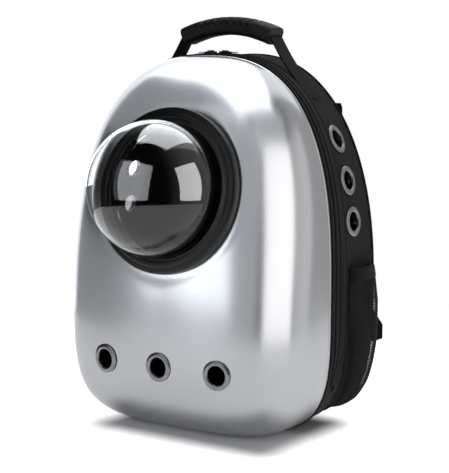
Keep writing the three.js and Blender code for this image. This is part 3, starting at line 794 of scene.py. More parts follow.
def shell_point(x, z):
    """The shell's surface in front of a point of the rim plane."""
    bearing = atan2(z - CROWN_HEIGHT, x)
    low, high = bearing - 1, bearing + 1
    for _ in range(40):
        middle = (low + high) / 2
        rim = outline(middle)
        if sin(atan2(rim[1] - CROWN_HEIGHT, rim[0]) - bearing) > 0:
            high = middle
        else:
            low = middle
    share = hypot(x, z - CROWN_HEIGHT) / hypot(rim[0], rim[1] - CROWN_HEIGHT)
    power = crown_power(rim)
    return crowned(rim, share, max(0, 1 - share**power) ** (1 / power))


def shell_normal(x, z):
    reach = 4 * MM
    across = shell_point(x + reach, z) - shell_point(x - reach, z)
    return across.cross(shell_point(x, z + reach) - shell_point(x, z - reach)).normalized()


# %% The bubble's seat and the vents' places
BUBBLE_HEIGHT, BUBBLE_TILT, BUBBLE_SINK = 274 * MM, radians(12), 7 * MM
BEZEL_RADIUS, BEZEL_HEIGHT = 92.3 * MM, 13 * MM
DOME_RADIUS, DOME_WALL, DOME_COLLAR, DOME_FLANGE = 75 * MM, 2 * MM, 26 * MM, 4.4 * MM
BEZEL_BARREL, BARREL_DEPTH, BARREL_WALL = DOME_RADIUS + DOME_FLANGE + 2.9 * MM, 6 * MM, 2.6 * MM
WINDOW = BEZEL_BARREL + 0.4 * MM
EYELET_BORE, EYELET_OUTER, EYELET_RISE = 10.5 * MM, 16.5 * MM, 2.3 * MM
EYELET_HOLE = EYELET_BORE + 1.9 * MM

bubble_axis = Vector((0, -cos(BUBBLE_TILT), sin(BUBBLE_TILT)))
seat = shell_point(0, BUBBLE_HEIGHT) - bubble_axis * BUBBLE_SINK
seat_place = Matrix.Translation(seat) @ Matrix.Rotation(pi / 2 - BUBBLE_TILT, 4, "X")
front_vents = {
    f"front_eyelet_{side}": (shell_point(x, 79 * MM), shell_normal(x, 79 * MM))
    for side, x in (("left", -76 * MM), ("middle", 0.0), ("right", 76 * MM))
}
print("bubble seat", [round(value, 4) for value in seat])

# %% Skin the shell
CREST_TURNS = 84  # rings from the middle of the front to where the rim begins
LIP_RINGS = 18  # rings of the steep edge behind them
GROOVE_AT, GROOVE_WIDE, GROOVE_DEEP = 3.6 * MM, 0.8 * MM, 0.7 * MM


def shell_rings():
    """Points of the outer face, ring by ring, with the seat pressed flat."""
    turns = [*np.linspace(0.004, 0.94 * pi / 2, CREST_TURNS)]
    rings = []
    rims = [outline(angle) for angle in even_angles(421, depth=0)[:-1]]
    last = cos(turns[-1]) * SHELL_DEPTH
    lip = [step / SHELL_DEPTH for step in np.linspace(last, 0, LIP_RINGS)[1:]]
    for turn in turns + lip:
        ring = []
        for rim in rims:
            power = crown_power(rim)
            if len(rings) < CREST_TURNS:
                size = (cos(turn) ** power + sin(turn) ** power) ** (-1 / power)
                share, bulge = size * sin(turn), size * cos(turn)
            else:
                rise, run = cos(turns[-1]), sin(turns[-1])
                start = rise * (rise**power + run**power) ** (-1 / power)
                bulge = start * turn * SHELL_DEPTH / last
                share = (1 - bulge**power) ** (1 / power)
            ring.append(press_seat(crowned(rim, share, bulge)))
        rings.append(ring)
    return np.array(rings)


def press_seat(point):
    """Presses the shell flat under the bezel and blends it back to its crown."""
    away = point - seat
    out = away.dot(bubble_axis)
    radius = (away - bubble_axis * out).length
    hold = 1 - eased(radius, BEZEL_RADIUS - 4.3 * MM, BEZEL_RADIUS + 13 * MM)
    return point - bubble_axis * out * hold


def ring_normals(rings):
    """The way out of a skin of rings, at each of its points."""
    round_it = np.roll(rings, -1, axis=1) - np.roll(rings, 1, axis=1)
    outwards = np.gradient(rings, axis=0)
    normals = np.cross(round_it, outwards)
    return normals / np.linalg.norm(normals, axis=2, keepdims=True)


outer = shell_rings()
normals = ring_normals(outer)
normals[-1, :, 1] = 0
if (normals * (outer - (0, RIM, CROWN_HEIGHT))).sum() < 0:
    normals = -normals
inner = outer - normals * SHELL_WALL
inner[..., 2] = np.maximum(inner[..., 2], SHELL_WALL)
from_rim = RIM - outer[..., 1:2]
outer = outer - normals * GROOVE_DEEP * np.exp(-(((from_rim - GROOVE_AT) / GROOVE_WIDE) ** 2))
outer[..., 2] = np.maximum(outer[..., 2], 0)
shell = loft("shell_skin", [*outer, *inner[::-3]])
print("shell:", len(shell.data.polygons), "faces before its holes")

# %% [markdown]
# The window and the vents are cut with round tools that are joined first, so that one boolean
# does it all. Faces that look into the pack get the bare inside of the moulding, painted near black
# as the shade inside the pack.

# %% Cut the window and the vents
INSIDE_OF_PACK = Vector((0, RIM, 200 * MM))
WINDOW_CUT, VENT_CUT = 30 * MM, 15 * MM  # how long the cutting tools are


def cut_round(piece, holes):
    """Cuts round holes, each a centre, an axis, a radius and a length."""
    tools = []
    for centre, axis, radius, length in holes:
        tool = begin(
            "tool", bpy.ops.mesh.primitive_cylinder_add, vertices=96, radius=radius, depth=length
        )
        tool.data.transform(facing(centre, axis))
        tools.append(tool)
    take(*tools)
    if len(tools) > 1:
        bpy.ops.object.join()
    tool = bpy.context.object
    modify(piece, "BOOLEAN", object=tool, operation="DIFFERENCE", solver="EXACT")
    bpy.data.objects.remove(tool)


holes = [(seat, bubble_axis, WINDOW, WINDOW_CUT)]
holes += [(centre, normal, EYELET_HOLE, VENT_CUT) for centre, normal in front_vents.values()]
cut_round(shell, holes)
settle(shell, (silver_lacquer, shell_inside), "shell_paint", "shell", smooth=50)
lit["shell"].objects.link(shell)
# Faces that look into the pack get the inside finish: dark plastic with painted shade.
for face in shell.data.polygons:
    face.material_index = int(face.normal.dot(face.center - INSIDE_OF_PACK) < 0)

# %% [markdown]
# ## The bubble and its bezel
#
# The bubble is blown from a clear sheet: a half sphere on a short collar, with a flange that the
# bezel clamps. It starts as a ball, loses its lower half to a bisection, and its open edge is
# extruded down and out. The wall comes last, once the faces point outwards.

# %% Blow the bubble
dome = begin(
    "clear_bubble", bpy.ops.mesh.primitive_uv_sphere_add,
    segments=128, ring_count=64, radius=DOME_RADIUS, location=(0, 0, DOME_COLLAR),
)
take(dome)
bpy.ops.object.transform_apply(location=True)
with editing(dome, "EDGE"):
    bpy.ops.mesh.bisect(plane_co=(0, 0, DOME_COLLAR), plane_no=(0, 0, 1), clear_inner=True)
    bpy.ops.mesh.select_all(action="DESELECT")
    bpy.ops.mesh.select_non_manifold()
    bpy.ops.mesh.extrude_edges_move(TRANSFORM_OT_translate={"value": (0, 0, -DOME_COLLAR)})
    bpy.ops.mesh.extrude_edges_move(TRANSFORM_OT_translate={"value": (0, 0, 0)})
    spread = 1 + DOME_FLANGE / DOME_RADIUS
    bpy.ops.transform.resize(value=(spread, spread, 1), center_override=(0, 0, 0))
    weld()
modify(dome, "SOLIDIFY", thickness=DOME_WALL, offset=-1, use_even_offset=True)
dome.data.transform(seat_place)
settle(dome, clear_plastic, "clear_dome", "bubble_dome", smooth=60)
lit["bubble"].objects.link(dome)

# %% [markdown]
# The bezel is one moulded ring of shallow steps. Its face is drawn as a profile, from the edge
# against the bubble out to the rim, and spun.

# %% Spin the bezel
# share of the way out from the bubble, share of the height
BEZEL_FACE = [
    (0.00, 0.70), (0.03, 0.74), (0.10, 0.74), (0.16, 0.71), (0.20, 0.70), (0.22, 0.74), (0.235, 0.90),
    (0.26, 0.97), (0.30, 1.00), (0.36, 0.995), (0.52, 0.945), (0.55, 0.925), (0.565, 0.88),
    (0.60, 0.86), (0.80, 0.82), (0.91, 0.77), (0.96, 0.71), (0.99, 0.61), (1.00, 0.50), (1.00, 0.00),
]
inside = DOME_RADIUS + SEAM_GAP
profile = [
    (lerp(inside, BEZEL_RADIUS, out), lerp(SEAM_GAP, BEZEL_HEIGHT, up)) for out, up in BEZEL_FACE
]
profile += [
    (BEZEL_BARREL, SEAM_GAP),
    (BEZEL_BARREL, -BARREL_DEPTH),
    (BEZEL_BARREL - BARREL_WALL, -BARREL_DEPTH),
    (BEZEL_BARREL - BARREL_WALL, SEAM_GAP),
    (inside, SEAM_GAP),
]
bezel = turned("stepped_bezel", profile, 160)
soften(bezel, 0.3 * MM, 2, 20)
bezel.data.transform(seat_place)
settle(bezel, bezel_black, "gloss_black", "bubble_bezel", smooth=30)

# %% [markdown]
# ## Vent eyelets
#
# An eyelet is a steel tube whose end a press has rolled over a washer. One is turned, with the
# roll as a quarter ellipse at the bore and a long slope to the edge, and then copied to nine
# places. Each copy has a mesh of its own and stands for its own CAD node.

# %% Turn one eyelet and place nine
EYELET_SEAT, WASHER_GAP, WASHER_WALL, TUBE_WALL = 0.6 * MM, 1.3 * MM, 1.1 * MM, 1.5 * MM
ROLL = 0.34  # share of the flange that the roll takes
WALL = 2.5 * MM  # the cloth wall that the side eyelets clamp


def eyelet_profile(wall):
    flange = EYELET_OUTER - EYELET_BORE
    lip = 0.3 * MM
    points = []
    for turn in np.linspace(0, pi / 2, 8):
        rise = lip + (EYELET_RISE - lip) * sin(turn)
        points.append((EYELET_BORE + ROLL * flange * (1 - cos(turn)), rise))
    for share in np.linspace(0, 1, 9)[1:]:
        drop = (EYELET_RISE - EYELET_SEAT - lip) * (1 - cos(share * pi / 2)) ** 1.3
        points.append((EYELET_BORE + flange * lerp(ROLL, 1, share), EYELET_RISE - drop))
    back = -(wall + WASHER_GAP)
    return points + [
        (EYELET_OUTER, EYELET_SEAT),
        (EYELET_BORE + TUBE_WALL, EYELET_SEAT),
        (EYELET_BORE + TUBE_WALL, back),
        (EYELET_OUTER - TUBE_WALL, back),
        (EYELET_OUTER - TUBE_WALL, back - WASHER_WALL),
        (EYELET_BORE, back - WASHER_WALL),
    ]


SIDE_VENT_DEPTH, SIDE_VENT_TOP, SIDE_VENT_PITCH = 52 * MM, HEIGHT - 92 * MM, 45.5 * MM
side_vents = {}
for row in range(3):
    vent_angle = angle_at(SIDE_VENT_TOP - row * SIDE_VENT_PITCH, SIDE_VENT_DEPTH)
    centre = on_body(SIDE_VENT_DEPTH, vent_angle)
    into = on_body(SIDE_VENT_DEPTH + MM, vent_angle) - centre
    normal = into.cross(on_body(SIDE_VENT_DEPTH, vent_angle + 0.01) - centre).normalized()
    for side, sign in (("left", -1), ("right", 1)):
        flip = Vector((sign, 1, 1))  # which side of the pack
        out = normal if normal.x > 0 else -normal
        side_vents[f"side_eyelet_{side}_{row + 1}"] = (centre * flip, out * flip)

for vents, wall in ((front_vents, SHELL_WALL), (side_vents, WALL)):
    eyelet = turned("eyelet", eyelet_profile(wall), 64)
    for name, (centre, normal) in vents.items():
        ring = bpy.data.objects.new(name + "_ring", eyelet.data.copy())
        bpy.context.collection.objects.link(ring)
        ring.data.transform(facing(centre, normal))
        settle(ring, gunmetal, "eyelet_metal", name, smooth=35)
    bpy.data.objects.remove(eyelet)

# %% [markdown]
# ## The cloth side
#
# Binding, cloth wall, zip, seam fold and piping all run round the same outline. Each has a section
# drawn in two numbers, how far behind the shell's rim and how far out of the cloth, and the tool
# carries it round.

# %% Carry a section round the outline
def hoop(name, section, angles=ROUND, tour=True):
    """A closed section of (depth, out) carried round. It may be a function of the angle."""
    shape = section if callable(section) else lambda angle: section
    rings = [[on_body(depth, angle, out) for depth, out in shape(angle)] for angle in angles]
    return loft(name, rings, tour)


def seam_line(depth, out, angles=ROUND):
    """A line round the body and the way out along it, for stitches."""
    points = [depth(angle) if callable(depth) else depth for angle in angles]
    line = [on_body(d, angle, out) for d, angle in zip(points, angles)]
    return line, [out_of_body(d, angle) for d, angle in zip(points, angles)]


# %% [markdown]
# The binding is a tape folded over the raw edge where shell and cloth meet. It is filled out by
# the edge inside it, so it is full in the middle, and its back edge is held down by a row of
# stitches in a shallow trough.

# %% Roll the binding
# depth behind the rim, way out, both in millimetres
BINDING = [
    (0.3, -2.5), (0.3, 0.4), (0.6, 0.95), (1.1, 1.3), (2.0, 1.55), (3.4, 1.6), (4.8, 1.45), (5.5, 1.15),
    (6.0, 1.0), (6.5, 1.05), (7.1, 0.9), (7.5, 0.5), (7.7, 0.0), (7.7, -2.5),
]
binding = hoop("edge_binding", [(depth * MM, out * MM) for depth, out in BINDING])
settle(binding, binding_tape, "binding_cloth", "rim_binding", smooth=60)

# %% [markdown]
# The wall is a strip of heavy cloth over thin foam. It stands taut, with faint hollows between
# its seams and small puckers where the stitches pull. Those are worked out from a few slow waves,
# and they fade before the eyelets so that the rings sit flat. Low down, behind the pockets, the
# wall swells.

# %% Shape the cloth wall
WALL_FRONT, WALL_CUT = 8 * MM, 14 * MM
PUCKER, HOLLOW = 0.42 * MM, 0.5 * MM
FOLD_FRONT, FOLD_BACK = 28.9 * MM, 34.6 * MM
VENT_CLEAR = 24 * MM
wall_angles = even_angles(521)[:-1]
wall_reach = np.linspace(0, 1, len(wall_angles), endpoint=False)
# The wall swells behind the pockets: how far, and the heights between which that starts and ends
SWELL, SWELL_FOOT, SWELL_TOP = 10.5 * MM, (14 * MM, 46 * MM), (70 * MM, 150 * MM)


def wall_relief(depth, turn_share, point):
    """How far the cloth stands in or out there."""
    from_seam = min(abs(depth - FOLD_BACK), BODY_DEPTH - depth)
    beat = sin(2 * pi * 61 * turn_share + 1.3 * sin(2 * pi * 7 * turn_share))
    pucker = PUCKER * beat * 0.5 ** (from_seam / (5 * MM))
    slow = sin(2 * pi * 5 * turn_share + depth / (19 * MM))
    slow += 0.6 * sin(2 * pi * 11 * turn_share - depth / (13 * MM))
    across = max(0, min(1, (depth - FOLD_BACK) / (BODY_DEPTH - FOLD_BACK)))
    hollow = HOLLOW * (0.35 * slow - 0.8) * sin(pi * across) if across > 0 else 0
    near = min((point - centre).length for centre, _ in side_vents.values())
    swell = SWELL * sin(pi * across) ** 0.5
    swell *= eased(point.z, *SWELL_FOOT) * (1 - eased(point.z, *SWELL_TOP))
    return (pucker + hollow) * eased(near, EYELET_OUTER, VENT_CLEAR) + swell


def wall_ring(angle, turn_share):
    depths = [*np.linspace(WALL_FRONT, 30 * MM, 9), *np.linspace(32 * MM, BODY_DEPTH, 30)]
    face = [
        on_body(depth, angle, wall_relief(depth, turn_share, on_body(depth, angle))) for depth in depths
    ]
    lining = [on_body(depth, angle, -WALL) for depth in np.linspace(BODY_DEPTH, WALL_FRONT, 7)]
    return face + lining


body = loft("cloth_wall", [wall_ring(*row) for row in zip(wall_angles, wall_reach)], tour=True)
cut_round(body, [(centre, normal, EYELET_HOLE, WALL_CUT) for centre, normal in side_vents.values()])
settle(body, (body_cloth, lining_cloth_painted_shade), "body_cloth", "body", smooth=50)
# Faces that look into the pack get the lining: its own black, darkened further as painted shade.
for face in body.data.polygons:
    middle = Vector((0, face.center.y, WIDEST))
    face.material_index = int(face.normal.dot(face.center - middle) < 0)

# %% [markdown]
# ## The zip
#
# Two woven tapes carry a nylon coil between them. Towards the lower ends, on both sides, the zip
# runs out towards the shell, so both tapes narrow there. A tooth is one squeezed ball, copied at
# the coil's pitch.

# %% Weave the tapes and set the coil
ZIP_END, ZIP_NARROW_FROM, ZIP_NARROW_TO = 58 * MM, 118 * MM, 0.42
ZIP_FRONT, ZIP_MIDDLE, ZIP_BACK = 8.3 * MM, 18.8 * MM, 29.3 * MM
TAPE_TOP, COIL_TOP, COIL_HALF, COIL_PITCH = 1.6 * MM, 2.8 * MM, 2.6 * MM, 1.35 * MM
zip_low = angle_at(ZIP_END, 0)
zip_angles = even_angles(381, zip_low, pi - zip_low)


def narrowed(depth, angle):
    """A depth within the zip, drawn in towards the shell near the zip's lower ends."""
    hold = eased(outline(angle)[1], ZIP_END - 6 * MM, ZIP_NARROW_FROM)
    return ZIP_FRONT + (depth - ZIP_FRONT) * lerp(ZIP_NARROW_TO, 1, hold)


def tape_section(angle, back):
    """A tape's section, thicker at the edge that holds the coil. The back one is its mirror image."""
    near, far, low, high, edge = ZIP_FRONT, ZIP_MIDDLE - 1.2 * MM, CLOTH_GAP, TAPE_TOP, 0.4 * MM
    shape = [
        (near, low), (near, high - edge), (near + edge, high), (far - 2.4 * MM, high),
        (far - 1.9 * MM, high - 0.25 * MM), (far - edge, high - 0.1 * MM), (far, high - edge), (far, low),
    ]
    return [(narrowed(2 * ZIP_MIDDLE - at if back else at, angle), out) for at, out in shape]


for side, back in (("front", False), ("back", True)):
    band = hoop(f"zip_tape_{side}", lambda angle: tape_section(angle, back), zip_angles, False)
    settle(band, zip_tape, "zip_tape", "zipper", smooth=50)

tooth = begin("tooth", bpy.ops.mesh.primitive_uv_sphere_add, segments=6, ring_count=5, radius=0.5)
with editing(tooth):
    bpy.ops.transform.resize(value=(0.8 * COIL_PITCH, 2 * COIL_HALF, 2 * (COIL_TOP - TAPE_TOP)))
coil_line = seam_line(lambda angle: narrowed(ZIP_MIDDLE, angle), TAPE_TOP, zip_angles)
teeth = copy_along("zip_coil", tooth, places_along(*coil_line, COIL_PITCH))
settle(teeth, coil_nylon, "zip_tape", smooth=80)

# %% [markdown]
# Behind the zip the wall's cloth is folded under and top-stitched, which makes a soft ridge with
# a sharp front edge. Its front edge follows the zip.

# %% Fold the seam behind the zip
# share of the fold's width, way out in millimetres
FOLD = [
    (0.00, 0.15), (0.00, 1.3), (0.06, 1.9), (0.16, 2.15), (0.32, 2.0), (0.44, 1.55), (0.52, 1.45),
    (0.60, 1.6), (0.74, 1.5), (0.88, 1.0), (1.00, 0.45), (1.00, 0.15),
]
fold_low = angle_at(ZIP_END - 8 * MM, 0)
fold_angles = even_angles(401, fold_low, pi - fold_low)


def on_fold(share, angle):
    """The depth at a share of the fold's width."""
    return narrowed(ZIP_BACK, angle) - 0.4 * MM + share * (FOLD_BACK - FOLD_FRONT)


def fold_section(angle):
    return [(on_fold(share, angle), out * MM) for share, out in FOLD]


fold = hoop("zip_seam_fold", fold_section, fold_angles, False)
settle(fold, binding_tape, "binding_cloth", smooth=60)

# %% [markdown]
# A slider is one small casting: a wedge over the coil, a bridge on its back and a pull that lies
# on the tape. Each part starts as a cube and is tapered in edit mode.

# %% Cast the two sliders
SLIDER_LONG, SLIDER_WIDE, SLIDER_HIGH, SLIDER_SPACING = 13 * MM, 9 * MM, 3.2 * MM, 30 * MM
WEDGE_HIGH, BRIDGE_SIZE = 2.6 * MM, (8 * MM, 2.6 * MM, 1.6 * MM)
PULL_LONG, PULL_WIDE, PULL_WALL = 12 * MM, 6.2 * MM, 1.2 * MM


def casting(name, centre, size, taper=1.0, round_off=0.5 * MM):
    """A cube of that size whose end towards +X is narrowed, with its edges rounded."""
    part = begin(name, bpy.ops.mesh.primitive_cube_add, size=1)
    with editing(part):
        bpy.ops.transform.resize(value=size)
        bpy.ops.mesh.subdivide(number_cuts=3)
    for corner in part.data.vertices:
        share = 0.5 + corner.co.x / size[0]
        corner.co.y *= lerp(1, taper, share)
    part.data.transform(Matrix.Translation(centre))
    soften(part, round_off, 2, 40)
    return part


def make_slider(name):
    """A slider along X on the tape's plane, nose first, its pull behind it."""
    foot = COIL_TOP - 1.0 * MM
    top = foot + SLIDER_HIGH
    wedge = casting(
        "wedge", (0, 0, foot + WEDGE_HIGH / 2), (SLIDER_LONG, SLIDER_WIDE, WEDGE_HIGH), 0.62, 0.6 * MM
    )
    bridge = casting("bridge", (-0.5 * MM, 0, top - 0.2 * MM), BRIDGE_SIZE)
    pull = begin("pull", bpy.ops.mesh.primitive_cube_add, size=1)
    with editing(pull, "FACE", False) as mesh:
        bpy.ops.mesh.select_all(action="SELECT")
        bpy.ops.transform.resize(value=(PULL_LONG, PULL_WIDE, PULL_WALL))
        bpy.ops.mesh.select_all(action="DESELECT")
        for face in mesh.faces:
            face.select = abs(face.normal.z) > 0.5
        bpy.ops.mesh.inset(thickness=0.9 * MM, depth=-0.3 * MM)
    pull.data.transform(Matrix.Translation((-4 * MM - PULL_LONG / 2, 0, top - 1.4 * MM)))
    soften(pull, 0.4 * MM, 2, 30)
    take(wedge, bridge, pull)
    bpy.context.view_layer.objects.active = wedge
    bpy.ops.object.join()
    wedge.name = wedge.data.name = name
    return wedge


for side, sign in (("left", -1), ("right", 1)):
    lean = pi / 2 - sign * SLIDER_SPACING / 2 / (HEIGHT - WIDEST)
    here = on_body(ZIP_MIDDLE, lean)
    ahead = (on_body(ZIP_MIDDLE, lean - sign * 0.05) - here).normalized()
    out = out_of_body(ZIP_MIDDLE, lean)
    slider = make_slider(f"zip_slider_{side}_cast")
    slider.data.transform(placed(here, -ahead, out.cross(-ahead), out))
    settle(slider, slider_enamel, "slider_metal", f"zip_slider_{side}", smooth=40)

# %% [markdown]
# Piping is a cord inside a folded tape, sewn into the seam between wall and back.

# %% Run the piping round the back
PIPE_MIDDLE, PIPE_RADIUS, PIPE_SINK = 94.5 * MM, 2.2 * MM, 1.0 * MM
pipe = [
    (PIPE_MIDDLE + PIPE_RADIUS * cos(turn), PIPE_RADIUS * sin(turn) - PIPE_SINK)
    for turn in np.linspace(0, 2 * pi, 17)[:-1]
]
piping = hoop("back_edge_piping", pipe)
settle(piping, binding_tape, "binding_cloth", "back_piping", smooth=60)

# %% [markdown]
# ## Net pockets
#
# Each side has a stretch pocket. The net is knitted, so it is a real mesh of strands: a fine grid
# whose faces are split into diamonds, and whose edges the Wireframe modifier turns into yarn. The
# net bellies out between its sewn edges, and the hem above it is a doubled band with elastic in
# it, which keeps the mouth a little open.

# %% Where the pocket stands
POCKET_FRONT, POCKET_BACK, POCKET_FOOT, POCKET_TOP = 37 * MM, 89 * MM, 26 * MM, 186.8 * MM
HEM_HIGH, POCKET_BULGE, HEM_WALL = 15 * MM, 18 * MM, 2.4 * MM
POCKET_FULL = 0.42  # the smaller, the squarer the pocket stands off its sewn edges
POCKET_LEVELS = ([0, 0.03, 0.08, 0.2, 0.5, 0.75, 0.9, 1], [0, 0.42, 0.66, 0.86, 1, 0.95, 0.70, 0.36])
POCKET_MIDDLE = (POCKET_FRONT + POCKET_BACK) / 2


def on_pocket(across, angle, off=0.0):
    """A point of the pocket, by its share of the way from front to back."""
    height = on_body(POCKET_MIDDLE, angle).z
    share = min(max((height - POCKET_FOOT) / (POCKET_TOP - POCKET_FOOT), 0), 1)
    stand = POCKET_BULGE * np.interp(share, *POCKET_LEVELS)
    stand *= max(sin(pi * across), 0) ** POCKET_FULL
    return on_body(lerp(POCKET_FRONT, POCKET_BACK, across), angle, CLOTH_GAP + stand + off)


def pocket_angles(low, high, count):
    return even_angles(
        count, angle_at(low, POCKET_MIDDLE), angle_at(high, POCKET_MIDDLE), POCKET_MIDDLE
    )


# %% Knit the net
NET_COLUMNS, NET_ROWS, YARN = 20, 50, 0.8 * MM
net_rows = pocket_angles(POCKET_FOOT, POCKET_TOP - HEM_HIGH + 3 * MM, NET_ROWS + 1)
net = begin(
    "net_pocket_right", bpy.ops.mesh.primitive_grid_add,
    x_subdivisions=NET_COLUMNS, y_subdivisions=NET_ROWS, size=1,
)
for corner in net.data.vertices:
    row = round((corner.co.y + 0.5) * NET_ROWS)
    corner.co = on_pocket(corner.co.x + 0.5, net_rows[row], 0.9 * MM)
with editing(net, "FACE"):
    bpy.ops.mesh.poke()
with editing(net, "EDGE", False) as mesh:
    for edge in mesh.edges:
        edge.select = min(len(end.link_edges) for end in edge.verts) > 4 and len(edge.link_faces) == 2
    bpy.ops.mesh.dissolve_edges(use_verts=False)
modify(net, "WIREFRAME", thickness=YARN, use_replace=True, use_even_offset=False)
nets = settle_pair(net, net_yarn, "pocket_mesh", "pocket_net_right", smooth=80)

# %% Sew the hem
HEM_LOW = POCKET_TOP - HEM_HIGH + 0.3 * MM
HEM_OPEN = 3.5 * MM  # how far the elastic mouth stands off its corners
hem_rows = pocket_angles(HEM_LOW, POCKET_TOP, 9)


def hem_ring(index):
    """The hem's section from front to back and again on the inside, thinner at its edges."""
    share = index / (len(hem_rows) - 1)
    full = 0.35 + 0.65 * min(1, 4 * share, 4 * (1 - share)) ** 0.6
    face = []
    for across in np.linspace(0, 1, 25):
        ends = min(1, 7 * across, 7 * (1 - across))
        gather = 0.25 * MM * sin(2 * pi * 11 * across) * share * ends
        lean = HEM_OPEN * share * sin(pi * across)
        thick = HEM_WALL * (0.45 + 0.55 * full * ends)
        face.append((across, lean + gather, thick))
    outside = [on_pocket(across, hem_rows[index], off + thick) for across, off, thick in face]
    inside = [on_pocket(across, hem_rows[index], off) for across, off, thick in face]
    return outside + inside[::-1]


hem = loft("pocket_hem_right_band", [hem_ring(index) for index in range(len(hem_rows))])
soften(hem, 0.5 * MM, 2, 50)
hems = settle_pair(hem, body_cloth, "body_cloth", "pocket_hem_right", smooth=60)

# %% Tape the net's edges down
EDGE_TAPE, TAPE_OVER = 5 * MM, 0.5 * MM
FOOT_RISE = (1.0 * MM, 1.6 * MM, 1.8 * MM, 1.7 * MM, 1.2 * MM)  # the foot tape, from its lower edge up
edge_rows = pocket_angles(POCKET_FOOT, HEM_LOW, 60)


def edge_tape(name, near, far):
    """A flat tape that holds an upright edge of the net down on the wall."""
    shape = [
        (near, 0.5), (near, 1.1), (lerp(near, far, 0.15), 1.5), (lerp(near, far, 0.85), 1.5),
        (far, 1.1), (far, 0.5),
    ]
    rings = [[on_body(depth, angle, out * MM) for depth, out in shape] for angle in edge_rows]
    settle_pair(loft(name, rings), binding_tape, "binding_cloth", smooth=50)


edge_tape("pocket_front_tape_right", POCKET_FRONT - TAPE_OVER, POCKET_FRONT + EDGE_TAPE)
edge_tape("pocket_back_tape_right", POCKET_BACK - EDGE_TAPE, POCKET_BACK + TAPE_OVER)
foot_depths = np.linspace(POCKET_FRONT, POCKET_BACK, 20)
foot_rows = pocket_angles(POCKET_FOOT - 4 * MM, POCKET_FOOT + 2 * MM, len(FOOT_RISE))
foot_tape = loft(
    "pocket_foot_tape_right",
    [
        [on_body(depth, angle, out) for depth in foot_depths]
        + [on_body(depth, angle, 0.4 * MM) for depth in foot_depths[::-1]]
        for angle, out in zip(foot_rows, FOOT_RISE)
    ],
)
settle_pair(foot_tape, binding_tape, "binding_cloth", smooth=50)

# %% [markdown]
# ## The handle
#
# The grip is moulded rubber with a channel for the webbing. Ribs run across its upper side only,
# between two plain sleeves, and a ledge under them marks the mould's split. The section is a
# rounded box, so one loft with many rings gives ribs, ledge and channel together.

# %% Mould the grip
GRIP_HALF, GRIP_HEIGHT, GRIP_ARCH = 60 * MM, 441 * MM, 12 * MM
HANDLE_DEPTH, GRIP_DEEP, GRIP_THICK = 46 * MM, 32 * MM, 21 * MM
RIBS, RIB_PITCH, RIB_DEEP, RIB_GAP = 8, 9 * MM, 3.2 * MM, 0.26
SLOT_HALF_WIDE, SLOT_HALF_HIGH = 13.4 * MM, 1.6 * MM
LEDGE_AT, LEDGE_DEEP = 0.05, 0.8 * MM
SLEEVE_ROUND = 1.6 * MM
GRIP_TURNS = np.linspace(0, 2 * pi, 57)[:-1]


def arch(share):
    """The middle of the handle at a share of the way to its right end, and its upward normal."""
    rise = GRIP_ARCH * (1 - share * share)
    point = Vector((GRIP_HALF * share, RIM + HANDLE_DEPTH, GRIP_HEIGHT + rise))
    return point, Vector((2 * GRIP_ARCH * share / GRIP_HALF, 0, 1)).normalized()


def rib_cut(share):
    """How deep the gap between ribs is there, from 0 to 1."""
    half_span = RIBS * RIB_PITCH / 2 / GRIP_HALF
    if abs(share) > half_span:
        return 0.0
    phase = ((share + half_span) * GRIP_HALF / RIB_PITCH) % 1
    return 1 - eased(abs(phase - 0.5), RIB_GAP - 0.12, RIB_GAP + 0.06)


def grip_ring(share):
    point, normal = arch(share)
    end = max(0, abs(share) - (1 - SLEEVE_ROUND / GRIP_HALF)) * GRIP_HALF / SLEEVE_ROUND
    trim = SLEEVE_ROUND * (1 - (1 - end * end) ** 0.5) if end < 1 else SLEEVE_ROUND
    ring = []
    for turn in GRIP_TURNS:
        across, high = squared(cos(turn), 0.62), squared(sin(turn), 0.66)
        cut = RIB_DEEP * rib_cut(share) * eased(high, LEDGE_AT, LEDGE_AT + 0.22)
        in_span = eased(GRIP_HALF * (1 - abs(share)), 20 * MM, 24 * MM)
        ledge = LEDGE_DEEP * in_span * eased(-high, -LEDGE_AT, 0.25)
        half_deep = GRIP_DEEP / 2 - trim - (cut + ledge) * abs(across)
        half_thick = GRIP_THICK / 2 - trim - (cut + 0.3 * ledge) * abs(high)
        ring.append(point + Vector((0, across * half_deep, 0)) + normal * high * half_thick)
    return ring


def slot_ring(share):
    point, normal = arch(share)
    ring = []
    for turn in GRIP_TURNS:
        across, high = squared(cos(turn), 0.25), squared(sin(turn), 0.25)
        ring.append(point + Vector((0, across * SLOT_HALF_WIDE, 0)) + normal * high * SLOT_HALF_HIGH)
    return ring


grip_shares = np.concatenate(
    [
        np.linspace(-1, -1 + SLEEVE_ROUND / GRIP_HALF, 6)[:-1],
        np.linspace(-1 + SLEEVE_ROUND / GRIP_HALF, 1 - SLEEVE_ROUND / GRIP_HALF, 241),
        np.linspace(1 - SLEEVE_ROUND / GRIP_HALF, 1, 6)[1:],
    ]
)
slot_shares = np.linspace(1, -1, 21)
grip = loft(
    "rubber_grip",
    [grip_ring(share) for share in grip_shares] + [slot_ring(share) for share in slot_shares],
    tour=True,
)
settle(grip, grip_rubber, "grip_rubber", "handle_grip", smooth=50)

# %% [markdown]
# Webbing is thick woven tape. It comes up from its sewn foot on each side, runs through the grip
# and down again. Its edges are rounded, and the weave comes from the finish, laid on the strap's
# own flat pattern.

# %% Run the webbing through the grip
WEB_WIDE, WEB_THICK, FOOT_WIDE = 25 * MM, 2 * MM, 30 * MM
FOOT_HEIGHT, LIFT_HEIGHT = 372 * MM, 386 * MM
WEB_OFF, WEB_SAG = 1.45 * MM, 2.2 * MM  # how far its middle lies off the body, and its slack


